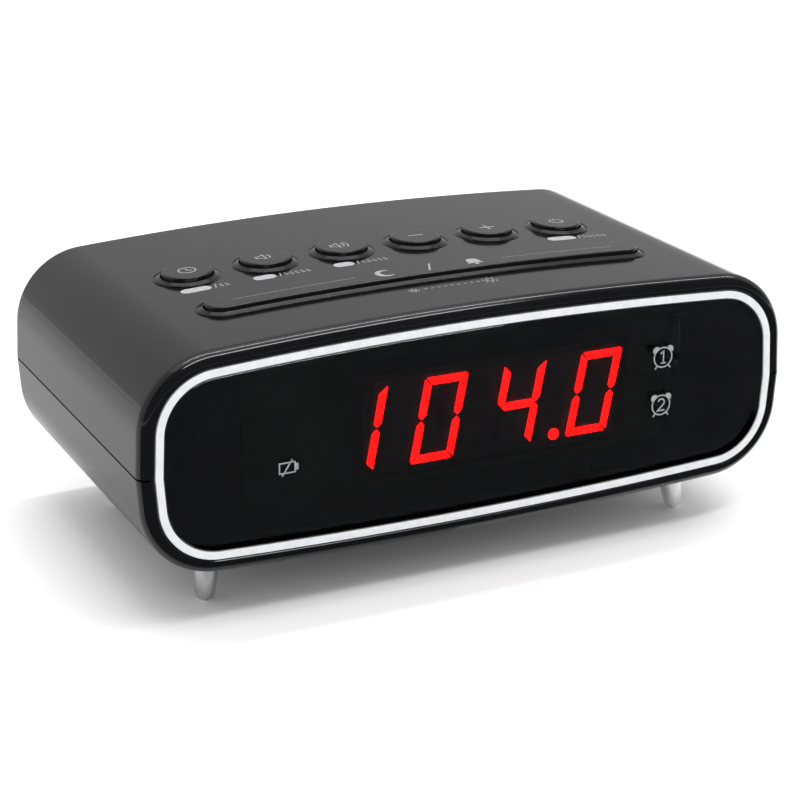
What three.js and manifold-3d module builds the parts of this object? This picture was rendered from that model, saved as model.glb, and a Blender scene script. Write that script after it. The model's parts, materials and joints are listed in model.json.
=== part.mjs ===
// A clock radio with a gloss case in two shells, a smoked display lens in a bright trim ring,
// six round buttons and a snooze bar on top, a speaker that fires down and four splayed feet.
// Millimetres, +Z up, the front faces -Y, and the origin is on the ground under the middle of the case.
import * as THREE from "three";
import { mergeVertices } from "three/addons/utils/BufferGeometryUtils.js";
import Module from "manifold-3d";

const wasm = await Module();
wasm.setup();

// ---- Case ----
const WIDTH = 186;
const DEPTH = 105;
const PARTING = 42.7; // height of the seam between the two shells, which is the widest line of the case
const RISE = 32.3; // from the seam to the top of the case, at the middle
const DROP = 29.6; // from the seam to the underside, at the middle
const TOP_CROWN = 3.8; // how far the top falls from the middle to the sides
const BOTTOM_CROWN = 2.7;
const UPPER_LEAN = 1.8; // how far each side leans in, above the seam
const LOWER_LEAN = 1.9;
const CORNER_RADIUS = 20.4;
const FRONT_FILLET = 3.2;
const REAR_FILLET = 2.1;
const WALL = 2.2;
const GAP = 0.3; // clearance between neighbouring pieces
const FRONT = -DEPTH / 2;
const BACK = DEPTH / 2;

// ---- Face ----
const RIM = 3.8; // flat and rounded black rim in front of the trim ring, across the outline
const RING_WIDTH = 2.1;
const FACE_DEPTH = 2.7; // thickness of the ring and the lens
const LEDGE_INSET = 9; // inner edge of the ledge that backs the lens
const LEDGE_DEPTH = 2;

// ---- Controls on top ----
const BUTTONS = ["set", "volume_down", "volume_up", "minus", "plus", "power"];
const BUTTON_RADIUS = 6.85;
const BUTTON_PITCH = 22.4;
const BUTTON_ROW = FRONT + 59.2;
const BUTTON_SHIFT = -1.65; // the row and the bar sit a little left of the middle of the case
const BAR_LENGTH = 126;
const BAR_RADIUS = 4.75;
const BAR_ROW = FRONT + 29.75;
const BAR_SHIFT = -0.75;
const CAP_PROUD = 1.9; // how far a cap stands above the case
const CAP_HEIGHT = 5.4;
const FLANGE_OUT = 1.5; // the flange under a cap that keeps it in the case
const FLANGE_HEIGHT = 1;
const BEZEL = { out: 1.65, step: 0.9, edge: 0.55, rise: 1.15 }; // the raised margin around a cap, in two steps
const COLLAR_DEEP = 4.4; // the collar round each opening reaches this far down from the outside of the case
const HOLE_GAP = GAP + 0.05;
const STEM_RADIUS = 2.4; // the stem under a cap that pushes its switch
// The bar has two guide pins that pass through the key board.
const GUIDE = { x: 45, radius: 2.2, clearance: 0.4, below: 5 };
const BAR_WALL = 1.6;
const BAR_RIB = { reach: 50, thick: 1.2, bottom: PARTING + 26 };

// ---- Boards ----
const BOARD = 1.6;
const KEY_BOARD_TOP = PARTING + 16.8;
const MAIN_BOARD_TOP = PARTING + 2.4;
const KEY_BOARD = { x: 75, front: FRONT + 23, rear: FRONT + 73 };
const MAIN_BOARD = { x: 72, front: FRONT + 20, rear: FRONT + 98 };
const DISPLAY_BOARD = { x: 62, z: [PARTING - 17, PARTING + 20] };
const DISPLAY = { x: [-33, 44.5], z: [PARTING - 11.5, PARTING + 17], face: FRONT + 3.3, depth: 8.6 };
const SWITCH = { size: 6, height: 3.5, collarRadius: 2.6, collarHeight: 0.6, boreFloor: 0.9 };
const PLUNGER = { radius: 1.6, clearance: 0.25, rise: 5.2, length: 3 };
const RIBBON = { bend: 9.5, thick: 0.8, wide: 16, x: -24, rear: FRONT + 66 };

// ---- Speaker, battery bay, feet and screws ----
const SPEAKER = { x: 38, y: FRONT + 62, radius: 26.5 };
const SPEAKER_SEAT = PARTING - 25.6;
const GRILLE = { pitch: 4.4, width: 2.2, reach: 21, count: 9 };
const BAY = { x0: -68, x1: -20, y0: FRONT + 50, y1: FRONT + 73, roof: PARTING - 15, wall: 1.8 };
const DOOR_MARGIN = 3;
const DOOR_THICK = 1.8;
const DOOR_LEDGE = { width: 3, deep: 4.2 }; // the thickened skin that the door's recess is let into
const LATCH = { x: [-49, -39], y: [BAY.y1 - 2.6, BAY.y1 - 1.4], top: PARTING - 21 };
const CELL = { radius: 5.25, clearance: 0.6, rows: [0.26, 0.74] };
const CONTACT = { half: 4.5, thick: 0.5, bump: 1.2, wire: 0.35, wide: 3.4, narrow: 2.2, reach: 4, turns: 3 };
const FOOT = { x: 70, inFromEnd: 18.6, top: 4, nose: 2.5, height: 18, lean: 0.9, sink: 0.2 };
const FOOT_SPLAY = THREE.MathUtils.degToRad(5);
const FOOT_STUD = { radius: 1.5, hole: 1.8, boss: 4, bottom: 10, top: PARTING - 21, bossTop: PARTING - 24 };
const CASE_SCREW = { x: 80, front: FRONT + 34, rear: FRONT + 80, seat: PARTING - 10 };
const CASE_COLUMN = { upper: 3.6, lower: 5, well: 3.4, shaft: 1.6, pilot: 1.5, pilotTop: PARTING + 11 };
const KEY_POST = { x: 70, front: FRONT + 29, rear: FRONT + 67, radius: 3, pilot: 1.2, pilotTop: PARTING + 26 };
const MAIN_POST = { x: 66, front: FRONT + 30, rear: FRONT + 92, radius: 3, pilot: 1.2, deep: PARTING - 12 };
const SCREW_HOLE = 1.3; // a board's holes over its posts
const JACK = { x: -57, z: MAIN_BOARD_TOP + 6, radius: 4.6, half: 5, deep: 10 };
const SOCKET = { radius: 2.9, deep: 8, pin: 1, pinBack: 1.5 }; // its pin ends pinBack inside the back of the case
const GLAND = { x: 58, z: PARTING + 9, radius: 2.9, flange: 4.7, flangeThick: 0.8, bore: 1.1, inside: 3 };

const ROUND = 20; // sides of a round piece
const FINE = 12; // sides of a screw hole, a stem or another thin round piece
const FAR = 60; // longer than any cut needs
const WIDE = [-2 * FAR, 2 * FAR];

// ---- Materials ----
const MATERIALS = {
  gloss_black: { color: 0x0b0b0d, roughness: 0.18, metalness: 0 },
  cap_black: { color: 0x101012, roughness: 0.22, metalness: 0 },
  bright_trim: { color: 0xd8dadd, roughness: 0.25, metalness: 0.9 },
  smoked_lens: { color: 0x08080a, roughness: 0.05, metalness: 0 },
  satin_metal: { color: 0xa9abad, roughness: 0.35, metalness: 0.9 },
  circuit_board: { color: 0x1f5a34, roughness: 0.55, metalness: 0 },
  tin: { color: 0xb9bcc0, roughness: 0.3, metalness: 1 },
  chip_black: { color: 0x151515, roughness: 0.6, metalness: 0 },
  switch_white: { color: 0xd9d6cc, roughness: 0.5, metalness: 0 },
  display_grey: { color: 0x1b1b1d, roughness: 0.5, metalness: 0 },
  capacitor_sleeve: { color: 0x1d2a4a, roughness: 0.4, metalness: 0 },
  magnet_grey: { color: 0x3a3b3d, roughness: 0.7, metalness: 0.2 },
  paper_cone: { color: 0x1a1917, roughness: 0.9, metalness: 0 },
  soft_black: { color: 0x141414, roughness: 0.85, metalness: 0 },
  ribbon_grey: { color: 0x9c9c9a, roughness: 0.6, metalness: 0 },
};

const radio = new THREE.Group();

// ---- Turning three.js geometry into solids ----

function signedVolume(points, triangles) {
  const corner = (i) => new THREE.Vector3().fromArray(points, 3 * triangles[i]);
  let volume = 0;
  for (let i = 0; i < triangles.length; i += 3) {
    volume += corner(i).dot(corner(i + 1).cross(corner(i + 2))) / 6;
  }
  return volume;
}

// A solid from closed geometry. Flat slivers at a lathe's poles go, and the faces are turned outward.
function solid(geometry) {
  const bare = geometry.clone();
  bare.deleteAttribute("normal");
  bare.deleteAttribute("uv");
  const merged = mergeVertices(bare, 1e-4);
  const points = new Float32Array(merged.attributes.position.array);
  const triangles = [];
  for (let i = 0; i < merged.index.count; i += 3) {
    const [a, b, c] = [0, 1, 2].map((k) => merged.index.getX(i + k));
    if (a !== b && b !== c && c !== a) triangles.push(a, b, c);
  }
  if (signedVolume(points, triangles) < 0) triangles.reverse();
  const mesh = new wasm.Mesh({ numProp: 3, vertProperties: points, triVerts: new Uint32Array(triangles) });
  return new wasm.Manifold(mesh);
}

function geometryOf(manifold) {
  const mesh = manifold.getMesh();
  const geometry = new THREE.BufferGeometry();
  geometry.setAttribute("position", new THREE.BufferAttribute(mesh.vertProperties, 3));
  geometry.setIndex(new THREE.BufferAttribute(mesh.triVerts, 1));
  geometry.computeVertexNormals();
  return geometry;
}

function addPart(name, manifold, material, place = [0, 0, 0]) {
  const mesh = new THREE.Mesh(geometryOf(manifold), new THREE.MeshStandardMaterial(MATERIALS[material]));
  mesh.name = name;
  mesh.position.set(...place);
  radio.add(mesh);
}

// ---- Simple solids ----

function box([x0, x1], [y0, y1], [z0, z1]) {
  const geometry = new THREE.BoxGeometry(x1 - x0, y1 - y0, z1 - z0);
  geometry.translate((x0 + x1) / 2, (y0 + y1) / 2, (z0 + z1) / 2);
  return solid(geometry);
}

// An upright round bar, or a taper when the top radius differs.
function post(x, y, radius, z0, z1, topRadius = radius, sides = ROUND) {
  const geometry = new THREE.CylinderGeometry(topRadius, radius, z1 - z0, sides);
  geometry.rotateX(Math.PI / 2);
  geometry.translate(x, y, (z0 + z1) / 2);
  return solid(geometry);
}

const hole = (x, y, radius, z0, z1) => post(x, y, radius, z0, z1, radius, FINE);

// A round bar that runs front to back.
function rod(x, z, radius, y0, y1, sides = ROUND) {
  const geometry = new THREE.CylinderGeometry(radius, radius, y1 - y0, sides);
  geometry.translate(x, (y0 + y1) / 2, z);
  return solid(geometry);
}

// A round piece turned about an upright axis from [radius, height] points.
function turned(profile, sides = ROUND) {
  const points = profile.map(([radius, height]) => new THREE.Vector2(radius, height));
  const geometry = new THREE.LatheGeometry(points, sides);
  geometry.rotateX(Math.PI / 2);
  return solid(geometry);
}

// A plan outline raised from z0 to z1.
function raised(points, z0, z1) {
  const geometry = new THREE.ExtrudeGeometry(new THREE.Shape(points), { depth: z1 - z0, bevelEnabled: false });
  geometry.translate(0, 0, z0);
  return solid(geometry);
}

const FILLET_STEPS = 3;

// A cross-section, drawn from the seam, run from y0 back to y1, with a fillet on both ends if one is given.
function run(points, y0, y1, fillet = 0) {
  const geometry = new THREE.ExtrudeGeometry(new THREE.Shape(points), {
    depth: y1 - y0 - 2 * fillet,
    bevelEnabled: fillet > 0,
    bevelThickness: fillet,
    bevelSize: fillet,
    bevelOffset: -fillet,
    bevelSegments: FILLET_STEPS,
  });
  geometry.rotateX(Math.PI / 2);
  geometry.translate(0, y1 - fillet, PARTING);
  return solid(geometry);
}

const joined = (solids) => solids.reduce((whole, next) => whole.add(next));
const cutBy = (whole, solids) => solids.reduce((rest, next) => rest.subtract(next), whole);
const mirroredX = [-1, 1];

// ---- The case's cross-section ----

function arc(cx, cy, radius, from, to, steps) {
  return Array.from({ length: steps + 1 }, (_, i) => {
    const angle = from + ((to - from) * i) / steps;
    return new THREE.Vector2(cx + radius * Math.cos(angle), cy + radius * Math.sin(angle));
  });
}

// One half of the section, above or below the seam: a straight leaning side, a corner arc and a wide crown arc,
// each tangent to the next. The corner's centre is one corner radius in from the side and from the crown.
function halfSection(height, crown, lean) {
  const half = WIDTH / 2;
  const crownRadius = (half * half + crown * crown) / (2 * crown);
  const crownCentre = height - crownRadius;
  const side = Math.hypot(lean, height);
  const startX = half - (CORNER_RADIUS * height) / side;
  const startZ = (-CORNER_RADIUS * lean) / side - crownCentre;
  const along = (-lean * startX + height * startZ) / side;
  const reach = crownRadius - CORNER_RADIUS;
  const climb = Math.sqrt(along ** 2 - startX ** 2 - startZ ** 2 + reach ** 2) - along;
  const x = startX - (climb * lean) / side;
  const z = startZ + crownCentre + (climb * height) / side;
  const meet = Math.atan2(z - crownCentre, x);
  return { x, z, crownRadius, crownCentre, lean: Math.atan2(lean, height), meet };
}
const UPPER = halfSection(RISE, TOP_CROWN, UPPER_LEAN);
const LOWER = halfSection(DROP, BOTTOM_CROWN, LOWER_LEAN);

const CORNER_STEPS = 7;
const CROWN_STEPS = 8;

// The points of one half, from the right seam over to the left one.
function halfOutline(half, inset) {
  const radius = CORNER_RADIUS - inset;
  const corner = arc(half.x, half.z, radius, half.lean, half.meet, CORNER_STEPS);
  const crown = arc(0, half.crownCentre, half.crownRadius - inset, half.meet, Math.PI - half.meet, CROWN_STEPS);
  const otherCorner = corner.map((p) => new THREE.Vector2(-p.x, p.y)).reverse();
  return [new THREE.Vector2(WIDTH / 2 - inset, 0), ...corner, ...crown.slice(1, -1), ...otherCorner];
}

// The whole section, inset from the outside of the case.
function outline(inset) {
  const below = halfOutline(LOWER, inset).map((p) => new THREE.Vector2(-p.x, -p.y));
  return [...halfOutline(UPPER, inset), ...below];
}

const caseBlock = (inset) => run(outline(inset), FRONT - FAR, BACK + FAR);
const layer = (outer, inner) => caseBlock(outer).subtract(caseBlock(inner));

// ---- Shapes seen from above ----

const circle = (x, y, radius) => arc(x, y, radius, 0, 2 * Math.PI, ROUND).slice(0, -1);

function stadium(x, y, halfLength, radius) {
  const straight = halfLength - radius;
  const quarter = Math.PI / 2;
  return [
    ...arc(x + straight, y, radius, -quarter, quarter, ROUND / 2),
    ...arc(x - straight, y, radius, quarter, 3 * quarter, ROUND / 2),
  ];
}

const buttonX = (index) => (index - (BUTTONS.length - 1) / 2) * BUTTON_PITCH + BUTTON_SHIFT;

// The plan outline of each control, grown by a margin.
const controls = [
  ...BUTTONS.map((name, index) => ({
    name: `button_${name}`,
    plan: (grow) => circle(buttonX(index), BUTTON_ROW, BUTTON_RADIUS + grow),
    switchAt: [buttonX(index), BUTTON_ROW],
    switchName: name,
  })),
  {
    name: "snooze_bar",
    plan: (grow) => stadium(BAR_SHIFT, BAR_ROW, BAR_LENGTH / 2 + grow, BAR_RADIUS + grow),
    switchAt: [BAR_SHIFT, BAR_ROW],
    switchName: "snooze",
  },
];
const upright = (points) => raised(points, PARTING, PARTING + FAR);

// ---- Case shells ----

const LEDGE_FRONT = FRONT + FACE_DEPTH + GAP;

// The hollow case before it is parted: rounded at both ends, open at the face, with a ledge behind the lens.
function caseSkin() {
  const frontRound = run(outline(0), FRONT, BACK + FAR, FRONT_FILLET);
  const rearRound = run(outline(0), FRONT - FAR, BACK, REAR_FILLET);
  const recess = run(outline(RIM), FRONT - 1, LEDGE_FRONT);
  const window = run(outline(LEDGE_INSET), FRONT - 1, LEDGE_FRONT + LEDGE_DEPTH + 1);
  const cavity = run(outline(WALL), LEDGE_FRONT + LEDGE_DEPTH, BACK - WALL);
  return cutBy(frontRound.intersect(rearRound), [recess, window, cavity]);
}

const SEAM = 0.25; // half of the gap between the shells
const ANCHOR = 1; // how deep inner posts reach into the wall

function topShell(skin) {
  let shell = skin.intersect(box(WIDE, WIDE, [PARTING + SEAM, PARTING + FAR]));
  const collarBand = layer(ANCHOR, COLLAR_DEEP);
  const collars = controls.map(({ plan }) => upright(plan(BEZEL.out + WALL)).intersect(collarBand));
  const top = PARTING + FAR;
  const keyPosts = keyPostPlaces().map(([x, y]) => post(x, y, KEY_POST.radius, KEY_BOARD_TOP + GAP, top));
  const columns = caseScrewPlaces().map(([x, y]) => post(x, y, CASE_COLUMN.upper, PARTING + SEAM, top));
  shell = shell.add(joined([...keyPosts, ...columns]).intersect(caseBlock(ANCHOR)));
  const ring = ({ plan }, out, rise) => upright(plan(out)).intersect(layer(-rise, ANCHOR));
  const bezels = controls.map((control) => ring(control, BEZEL.out, BEZEL.edge));
  const steps = controls.map((control) => ring(control, BEZEL.step, BEZEL.rise));
  shell = shell.add(joined([...collars, ...bezels, ...steps]));
  const holes = controls.map(({ plan }) => upright(plan(HOLE_GAP)));
  const keyPilots = keyPostPlaces().map(([x, y]) => hole(x, y, KEY_POST.pilot, PARTING, KEY_POST.pilotTop));
  const { pilot, pilotTop } = CASE_COLUMN;
  const casePilots = caseScrewPlaces().map(([x, y]) => hole(x, y, pilot, PARTING - 1, pilotTop));
  const throughBack = (place, radius) => rod(place.x, place.z, radius + GAP, BACK - 2 * WALL, BACK + 1);
  const jackHole = throughBack(JACK, JACK.radius);
  const glandHole = throughBack(GLAND, GLAND.radius);
  const glandRecess = rod(GLAND.x, GLAND.z, GLAND.flange + GAP, BACK - GLAND.flangeThick - GAP, BACK + 1);
  return cutBy(shell, [...holes, ...keyPilots, ...casePilots, jackHole, glandHole, glandRecess]);
}

function bayBox(grow, z0, z1) {
  return box([BAY.x0 - grow, BAY.x1 + grow], [BAY.y0 - grow, BAY.y1 + grow], [z0, z1]);
}

const LIP = { thick: 1.3, foot: [-3, -1], stand: [-2.5, 2] };

// The lip stands up from the lower shell just inside the upper one, so that no light passes the seam.
// Its foot reaches a little way into the wall and the ledge.
function seamLip() {
  const front = LEDGE_FRONT + LEDGE_DEPTH + GAP;
  const outside = run(outline(WALL + GAP), front, BACK - WALL - GAP);
  const foot = run(outline(WALL - GAP), front - 2 * GAP, BACK - WALL + GAP);
  const inside = run(outline(WALL + LIP.thick), front - 1, BACK - WALL - LIP.thick);
  const band = ([z0, z1]) => box(WIDE, WIDE, [PARTING + z0, PARTING + z1]);
  return foot.intersect(band(LIP.foot)).add(outside.intersect(band(LIP.stand))).subtract(inside);
}

function grilleSlots() {
  const { pitch, width, reach, count } = GRILLE;
  return Array.from({ length: count }, (_, i) => {
    const x = (i - (count - 1) / 2) * pitch;
    const half = Math.sqrt(reach ** 2 - x ** 2);
    const [left, right] = [SPEAKER.x + x - width / 2, SPEAKER.x + x + width / 2];
    return box([left, right], [SPEAKER.y - half, SPEAKER.y + half], [0, SPEAKER_SEAT - 0.4]);
  });
}

const SEAT_OUT = 1.5; // the speaker's seat is this much wider than its basket
const SEAT_IN = 3;

function bottomShell(skin) {
  const below = [0, PARTING - SEAM];
  let shell = skin.intersect(box(WIDE, WIDE, below));
  const columns = caseScrewPlaces().map(([x, y]) => post(x, y, CASE_COLUMN.lower, ...below));
  const posts = mainPostPlaces().map(([x, y]) => post(x, y, MAIN_POST.radius, 0, MAIN_BOARD_TOP - BOARD - GAP));
  const footBosses = footPlaces().map(([x, y]) => post(x, y, FOOT_STUD.boss, 0, FOOT_STUD.bossTop));
  const bay = bayBox(BAY.wall, 0, BAY.roof + BAY.wall);
  const bayFrame = bayBox(DOOR_MARGIN + DOOR_LEDGE.width, 0, PARTING).intersect(layer(ANCHOR, DOOR_LEDGE.deep));
  const { x, y, radius } = SPEAKER;
  const seat = post(x, y, radius + SEAT_OUT, 0, SPEAKER_SEAT).subtract(post(x, y, radius - SEAT_IN, -1, FAR));
  const inner = joined([...columns, ...posts, ...footBosses, bay, bayFrame, seat]).intersect(caseBlock(ANCHOR));
  shell = shell.add(inner).add(seamLip());
  const doorRecess = bayBox(DOOR_MARGIN + GAP, 0, PARTING).subtract(caseBlock(DOOR_THICK + GAP));
  const bayHollow = bayBox(0, 0, BAY.roof);
  const headRecesses = caseScrewPlaces().map(([sx, sy]) => post(sx, sy, CASE_COLUMN.well, 0, CASE_SCREW.seat));
  const shaftHoles = caseScrewPlaces().map(([sx, sy]) => hole(sx, sy, CASE_COLUMN.shaft, 0, PARTING + 1));
  const { pilot, deep } = MAIN_POST;
  const pilots = mainPostPlaces().map(([sx, sy]) => hole(sx, sy, pilot, deep, PARTING + 5));
  const studHoles = footPlaces().map(([sx, sy]) => hole(sx, sy, FOOT_STUD.hole, 0, FOOT_STUD.top + 1));
  const cuts = [doorRecess, bayHollow, ...headRecesses, ...shaftHoles, ...pilots, ...studHoles];
  return cutBy(shell, [...cuts, ...grilleSlots()]);
}

// ---- Places that repeat at the corners ----

const atCorners = (x, front, rear) => mirroredX.flatMap((side) => [[side * x, front], [side * x, rear]]);
const keyPostPlaces = () => atCorners(KEY_POST.x, KEY_POST.front, KEY_POST.rear);
const caseScrewPlaces = () => atCorners(CASE_SCREW.x, CASE_SCREW.front, CASE_SCREW.rear);
const mainPostPlaces = () => atCorners(MAIN_POST.x, MAIN_POST.front, MAIN_POST.rear);
const footPlaces = () => atCorners(FOOT.x, FRONT + FOOT.inFromEnd, BACK - FOOT.inFromEnd);
const CORNER_NAMES = ["front_left", "rear_left", "front_right", "rear_right"];

// ---- Face pieces ----

function trimRing() {
  const outer = run(outline(RIM + GAP), FRONT, FRONT + FACE_DEPTH);
  return outer.subtract(run(outline(RIM + GAP + RING_WIDTH), FRONT - 1, FRONT + FACE_DEPTH + 1));
}

const displayLens = () => run(outline(RIM + 2 * GAP + RING_WIDTH), FRONT, FRONT + FACE_DEPTH);

// ---- Controls ----

function capBody(plan) {
  const cap = upright(plan(0)).intersect(layer(-CAP_PROUD, CAP_HEIGHT));
  const flangeBand = layer(CAP_HEIGHT - FLANGE_HEIGHT / 2, CAP_HEIGHT + FLANGE_HEIGHT);
  const flange = upright(plan(FLANGE_OUT)).intersect(flangeBand);
  return cap.add(flange);
}

const STEM_BOTTOM = KEY_BOARD_TOP + PLUNGER.rise + GAP;
const stem = ([x, y]) => hole(x, y, STEM_RADIUS, STEM_BOTTOM, PARTING + FAR);

function buttonCap({ plan, switchAt }) {
  return capBody(plan).add(stem(switchAt).intersect(caseBlock(CAP_HEIGHT - 1)));
}

// The bar is hollow underneath, with a stem over its switch and two guide pins through the board.
function snoozeBar({ plan, switchAt }) {
  const hollow = upright(plan(-BAR_WALL)).intersect(caseBlock(WALL - CAP_PROUD));
  const shell = capBody(plan).subtract(hollow);
  const pins = mirroredX.map((side) => {
    return hole(side * GUIDE.x, BAR_ROW, GUIDE.radius, KEY_BOARD_TOP - GUIDE.below, PARTING + FAR);
  });
  const { reach, thick, bottom } = BAR_RIB;
  const rib = box([-reach, reach], [BAR_ROW - thick / 2, BAR_ROW + thick / 2], [bottom, PARTING + FAR]);
  return shell.add(joined([...pins, stem(switchAt), rib]).intersect(caseBlock(WALL / 2 - CAP_PROUD)));
}

// ---- Switches ----

function switchBody() {
  const half = SWITCH.size / 2;
  const body = box([-half, half], [-half, half], [GAP, SWITCH.height + GAP]);
  const collar = post(0, 0, SWITCH.collarRadius, SWITCH.height, SWITCH.height + SWITCH.collarHeight);
  return body.add(collar).subtract(post(0, 0, PLUNGER.radius + PLUNGER.clearance, SWITCH.boreFloor, FAR));
}

const plunger = () => post(0, 0, PLUNGER.radius, PLUNGER.rise - PLUNGER.length, PLUNGER.rise);

// ---- Boards and their pieces ----

function keyBoard() {
  const { x: half, front, rear } = KEY_BOARD;
  const board = box([-half, half], [front, rear], [KEY_BOARD_TOP - BOARD, KEY_BOARD_TOP]);
  const screwHoles = keyPostPlaces().map(([x, y]) => hole(x, y, SCREW_HOLE, 0, FAR * 2));
  const guideHole = GUIDE.radius + GUIDE.clearance;
  const guideHoles = mirroredX.map((side) => post(side * GUIDE.x, BAR_ROW, guideHole, 0, FAR * 2));
  return cutBy(board, [...screwHoles, ...guideHoles]);
}

function mainBoard() {
  const { x: half, front, rear } = MAIN_BOARD;
  const board = box([-half, half], [front, rear], [MAIN_BOARD_TOP - BOARD, MAIN_BOARD_TOP]);
  return cutBy(board, mainPostPlaces().map(([x, y]) => hole(x, y, SCREW_HOLE, 0, FAR * 2)));
}

function ledDisplay() {
  return box(DISPLAY.x, [DISPLAY.face, DISPLAY.face + DISPLAY.depth], DISPLAY.z);
}

function displayBoard() {
  const front = DISPLAY.face + DISPLAY.depth + GAP;
  return box([-DISPLAY_BOARD.x, DISPLAY_BOARD.x], [front, front + BOARD], DISPLAY_BOARD.z);
}

const CHIP = { x: [-24, -2], y: [FRONT + 40, FRONT + 54], height: 2.4 };
const TUNER = { x: [28, 54], y: [FRONT + 34, FRONT + 54], height: 6 };
const CRYSTAL = { x: [6, 15], y: [FRONT + 44, FRONT + 48], height: 3.6 };
const CAPACITOR = { x: -34, y: FRONT + 86, radius: 5, height: 11 };
const onMainBoard = ({ x, y, height }) => box(x, y, [MAIN_BOARD_TOP + GAP, MAIN_BOARD_TOP + GAP + height]);

// A flat cable that leaves the key board's underside and turns down to the main board.
function ribbonCable() {
  const { bend, thick, wide, x, rear } = RIBBON;
  const top = KEY_BOARD_TOP - BOARD - GAP - PARTING;
  const centre = [rear, top - bend];
  const outside = arc(...centre, bend, Math.PI / 2, 0, FINE);
  const inside = arc(...centre, bend - thick, 0, Math.PI / 2, FINE);
  const foot = MAIN_BOARD_TOP + GAP - PARTING;
  const ends = [bend, bend - thick].map((r) => new THREE.Vector2(centre[0] + r, foot));
  const geometry = new THREE.ExtrudeGeometry(new THREE.Shape([...outside, ...ends, ...inside]), {
    depth: wide,
    bevelEnabled: false,
  });
  geometry.rotateX(Math.PI / 2);
  geometry.rotateZ(Math.PI / 2);
  geometry.translate(x, 0, PARTING);
  return solid(geometry);
}

function dcJack() {
  const { x, z, half, deep } = JACK;
  const behind = BACK - WALL - GAP;
  const body = box([x - half, x + half], [behind - deep, behind], [MAIN_BOARD_TOP + GAP, z + half]);
  const barrel = rod(x, z, JACK.radius, behind - 1, BACK - GAP);
  const socket = rod(x, z, SOCKET.radius, behind - SOCKET.deep, BACK + 1);
  const pin = rod(x, z, SOCKET.pin, behind - SOCKET.deep - 1, BACK - SOCKET.pinBack, FINE);
  return body.add(barrel).subtract(socket).add(pin);
}

function antennaGland() {
  const { x, z } = GLAND;
  const sleeve = rod(x, z, GLAND.radius, BACK - WALL - GLAND.inside, BACK - GLAND.flangeThick / 2);
  const flange = rod(x, z, GLAND.flange, BACK - GLAND.flangeThick, BACK);
  return sleeve.add(flange).subtract(rod(x, z, GLAND.bore, 0, FAR * 2, FINE));
}

// ---- Speaker, drawn about its own axis from the seam ----

const BASKET_FLOOR = SPEAKER_SEAT - PARTING + GAP;
const BASKET = { mouth: 24, flange: 1.4, shoulder: 14, bore: 8, height: 12, sheet: 1 };
const MAGNET = { pole: 5.2, ring: 7.4, radius: 13.5, height: 6, gapDeep: 3.5 };
const CONE = { cap: 6, rim: 21.2, rimEdge: 21.5, coilInner: 6.1, coilOuter: 6.9, coilTop: 14 };

// A sheet-metal cup: a flat flange, a sloping wall and a floor with a hole for the voice coil.
function speakerBasket() {
  const z = BASKET_FLOOR;
  const { mouth, flange, shoulder, bore, height, sheet } = BASKET;
  return turned([
    [mouth, z],
    [SPEAKER.radius, z],
    [SPEAKER.radius, z + flange],
    [mouth + sheet, z + flange],
    [shoulder, z + height],
    [bore, z + height],
    [bore, z + height - sheet],
    [shoulder - 0.7 * sheet, z + height - sheet],
    [mouth, z + 0.8 * sheet],
    [mouth, z],
  ]);
}

// A disc with a round groove that the voice coil moves in.
function speakerMagnet() {
  const z = BASKET_FLOOR + BASKET.height + GAP;
  const { pole, ring, radius, height, gapDeep } = MAGNET;
  return turned([
    [0, z],
    [pole, z],
    [pole, z + gapDeep],
    [ring, z + gapDeep],
    [ring, z],
    [radius, z],
    [radius, z + height],
    [0, z + height],
  ]);
}

// Cone, surround, dust cap and voice coil in one: it moves up and down between the basket and the grille.
function speakerCone() {
  const z = BASKET_FLOOR;
  const [capLow, neckLow, rimLow] = [6.8, 8.2, 1.2];
  const [capHigh, neckHigh, rimHigh] = [7.6, 9.2, 1.7];
  return turned([
    [0, z + capLow],
    [CONE.cap, z + neckLow],
    [CONE.rim, z + rimLow],
    [CONE.rimEdge, z + rimHigh],
    [CONE.coilOuter, z + neckHigh],
    [CONE.coilOuter, z + CONE.coilTop],
    [CONE.coilInner, z + CONE.coilTop],
    [CONE.coilInner, z + neckHigh],
    [0, z + capHigh],
  ]);
}

// ---- Battery bay ----

function batteryDoor() {
  const plate = bayBox(DOOR_MARGIN, 0, PARTING).intersect(layer(0, DOOR_THICK));
  const latch = box(LATCH.x, LATCH.y, [0, LATCH.top]).intersect(caseBlock(ANCHOR));
  return plate.add(latch);
}

const CELL_Z = BAY.roof - CELL.radius - CELL.clearance;
const [NEAR_CELL, FAR_CELL] = CELL.rows.map((t) => THREE.MathUtils.lerp(BAY.y0, BAY.y1, t));

// A plate on an end wall of the bay, from one cell's place to another's.
function contactPlate(x, nearY, farY) {
  const { half, thick } = CONTACT;
  return box([x, x + thick], [nearY - half, farY + half], [CELL_Z - half, CELL_Z + half]);
}

// A spring that narrows towards the cell, as one round wire.
function contactSpring(x, y, direction) {
  const { turns, wide, narrow, reach } = CONTACT;
  const steps = turns * 10;
  const points = Array.from({ length: steps + 1 }, (_, i) => {
    const t = i / steps;
    const radius = THREE.MathUtils.lerp(wide, narrow, t);
    const angle = 2 * Math.PI * turns * t;
    const [across, up] = [radius * Math.cos(angle), radius * Math.sin(angle)];
    return new THREE.Vector3(x + direction * reach * t, y + across, CELL_Z + up);
  });
  const wire = new THREE.Shape(arc(0, 0, CONTACT.wire, 0, 2 * Math.PI, 6).slice(0, -1));
  const path = new THREE.CatmullRomCurve3(points);
  return solid(new THREE.ExtrudeGeometry(wire, { steps, extrudePath: path, bevelEnabled: false }));
}

function contactBump(x, y, direction) {
  const { bump, thick } = CONTACT;
  const geometry = new THREE.CylinderGeometry(bump, 2 * bump - thick, bump, FINE);
  geometry.rotateZ((-direction * Math.PI) / 2);
  geometry.translate(x + direction * thick, y, CELL_Z);
  return solid(geometry);
}

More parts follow.
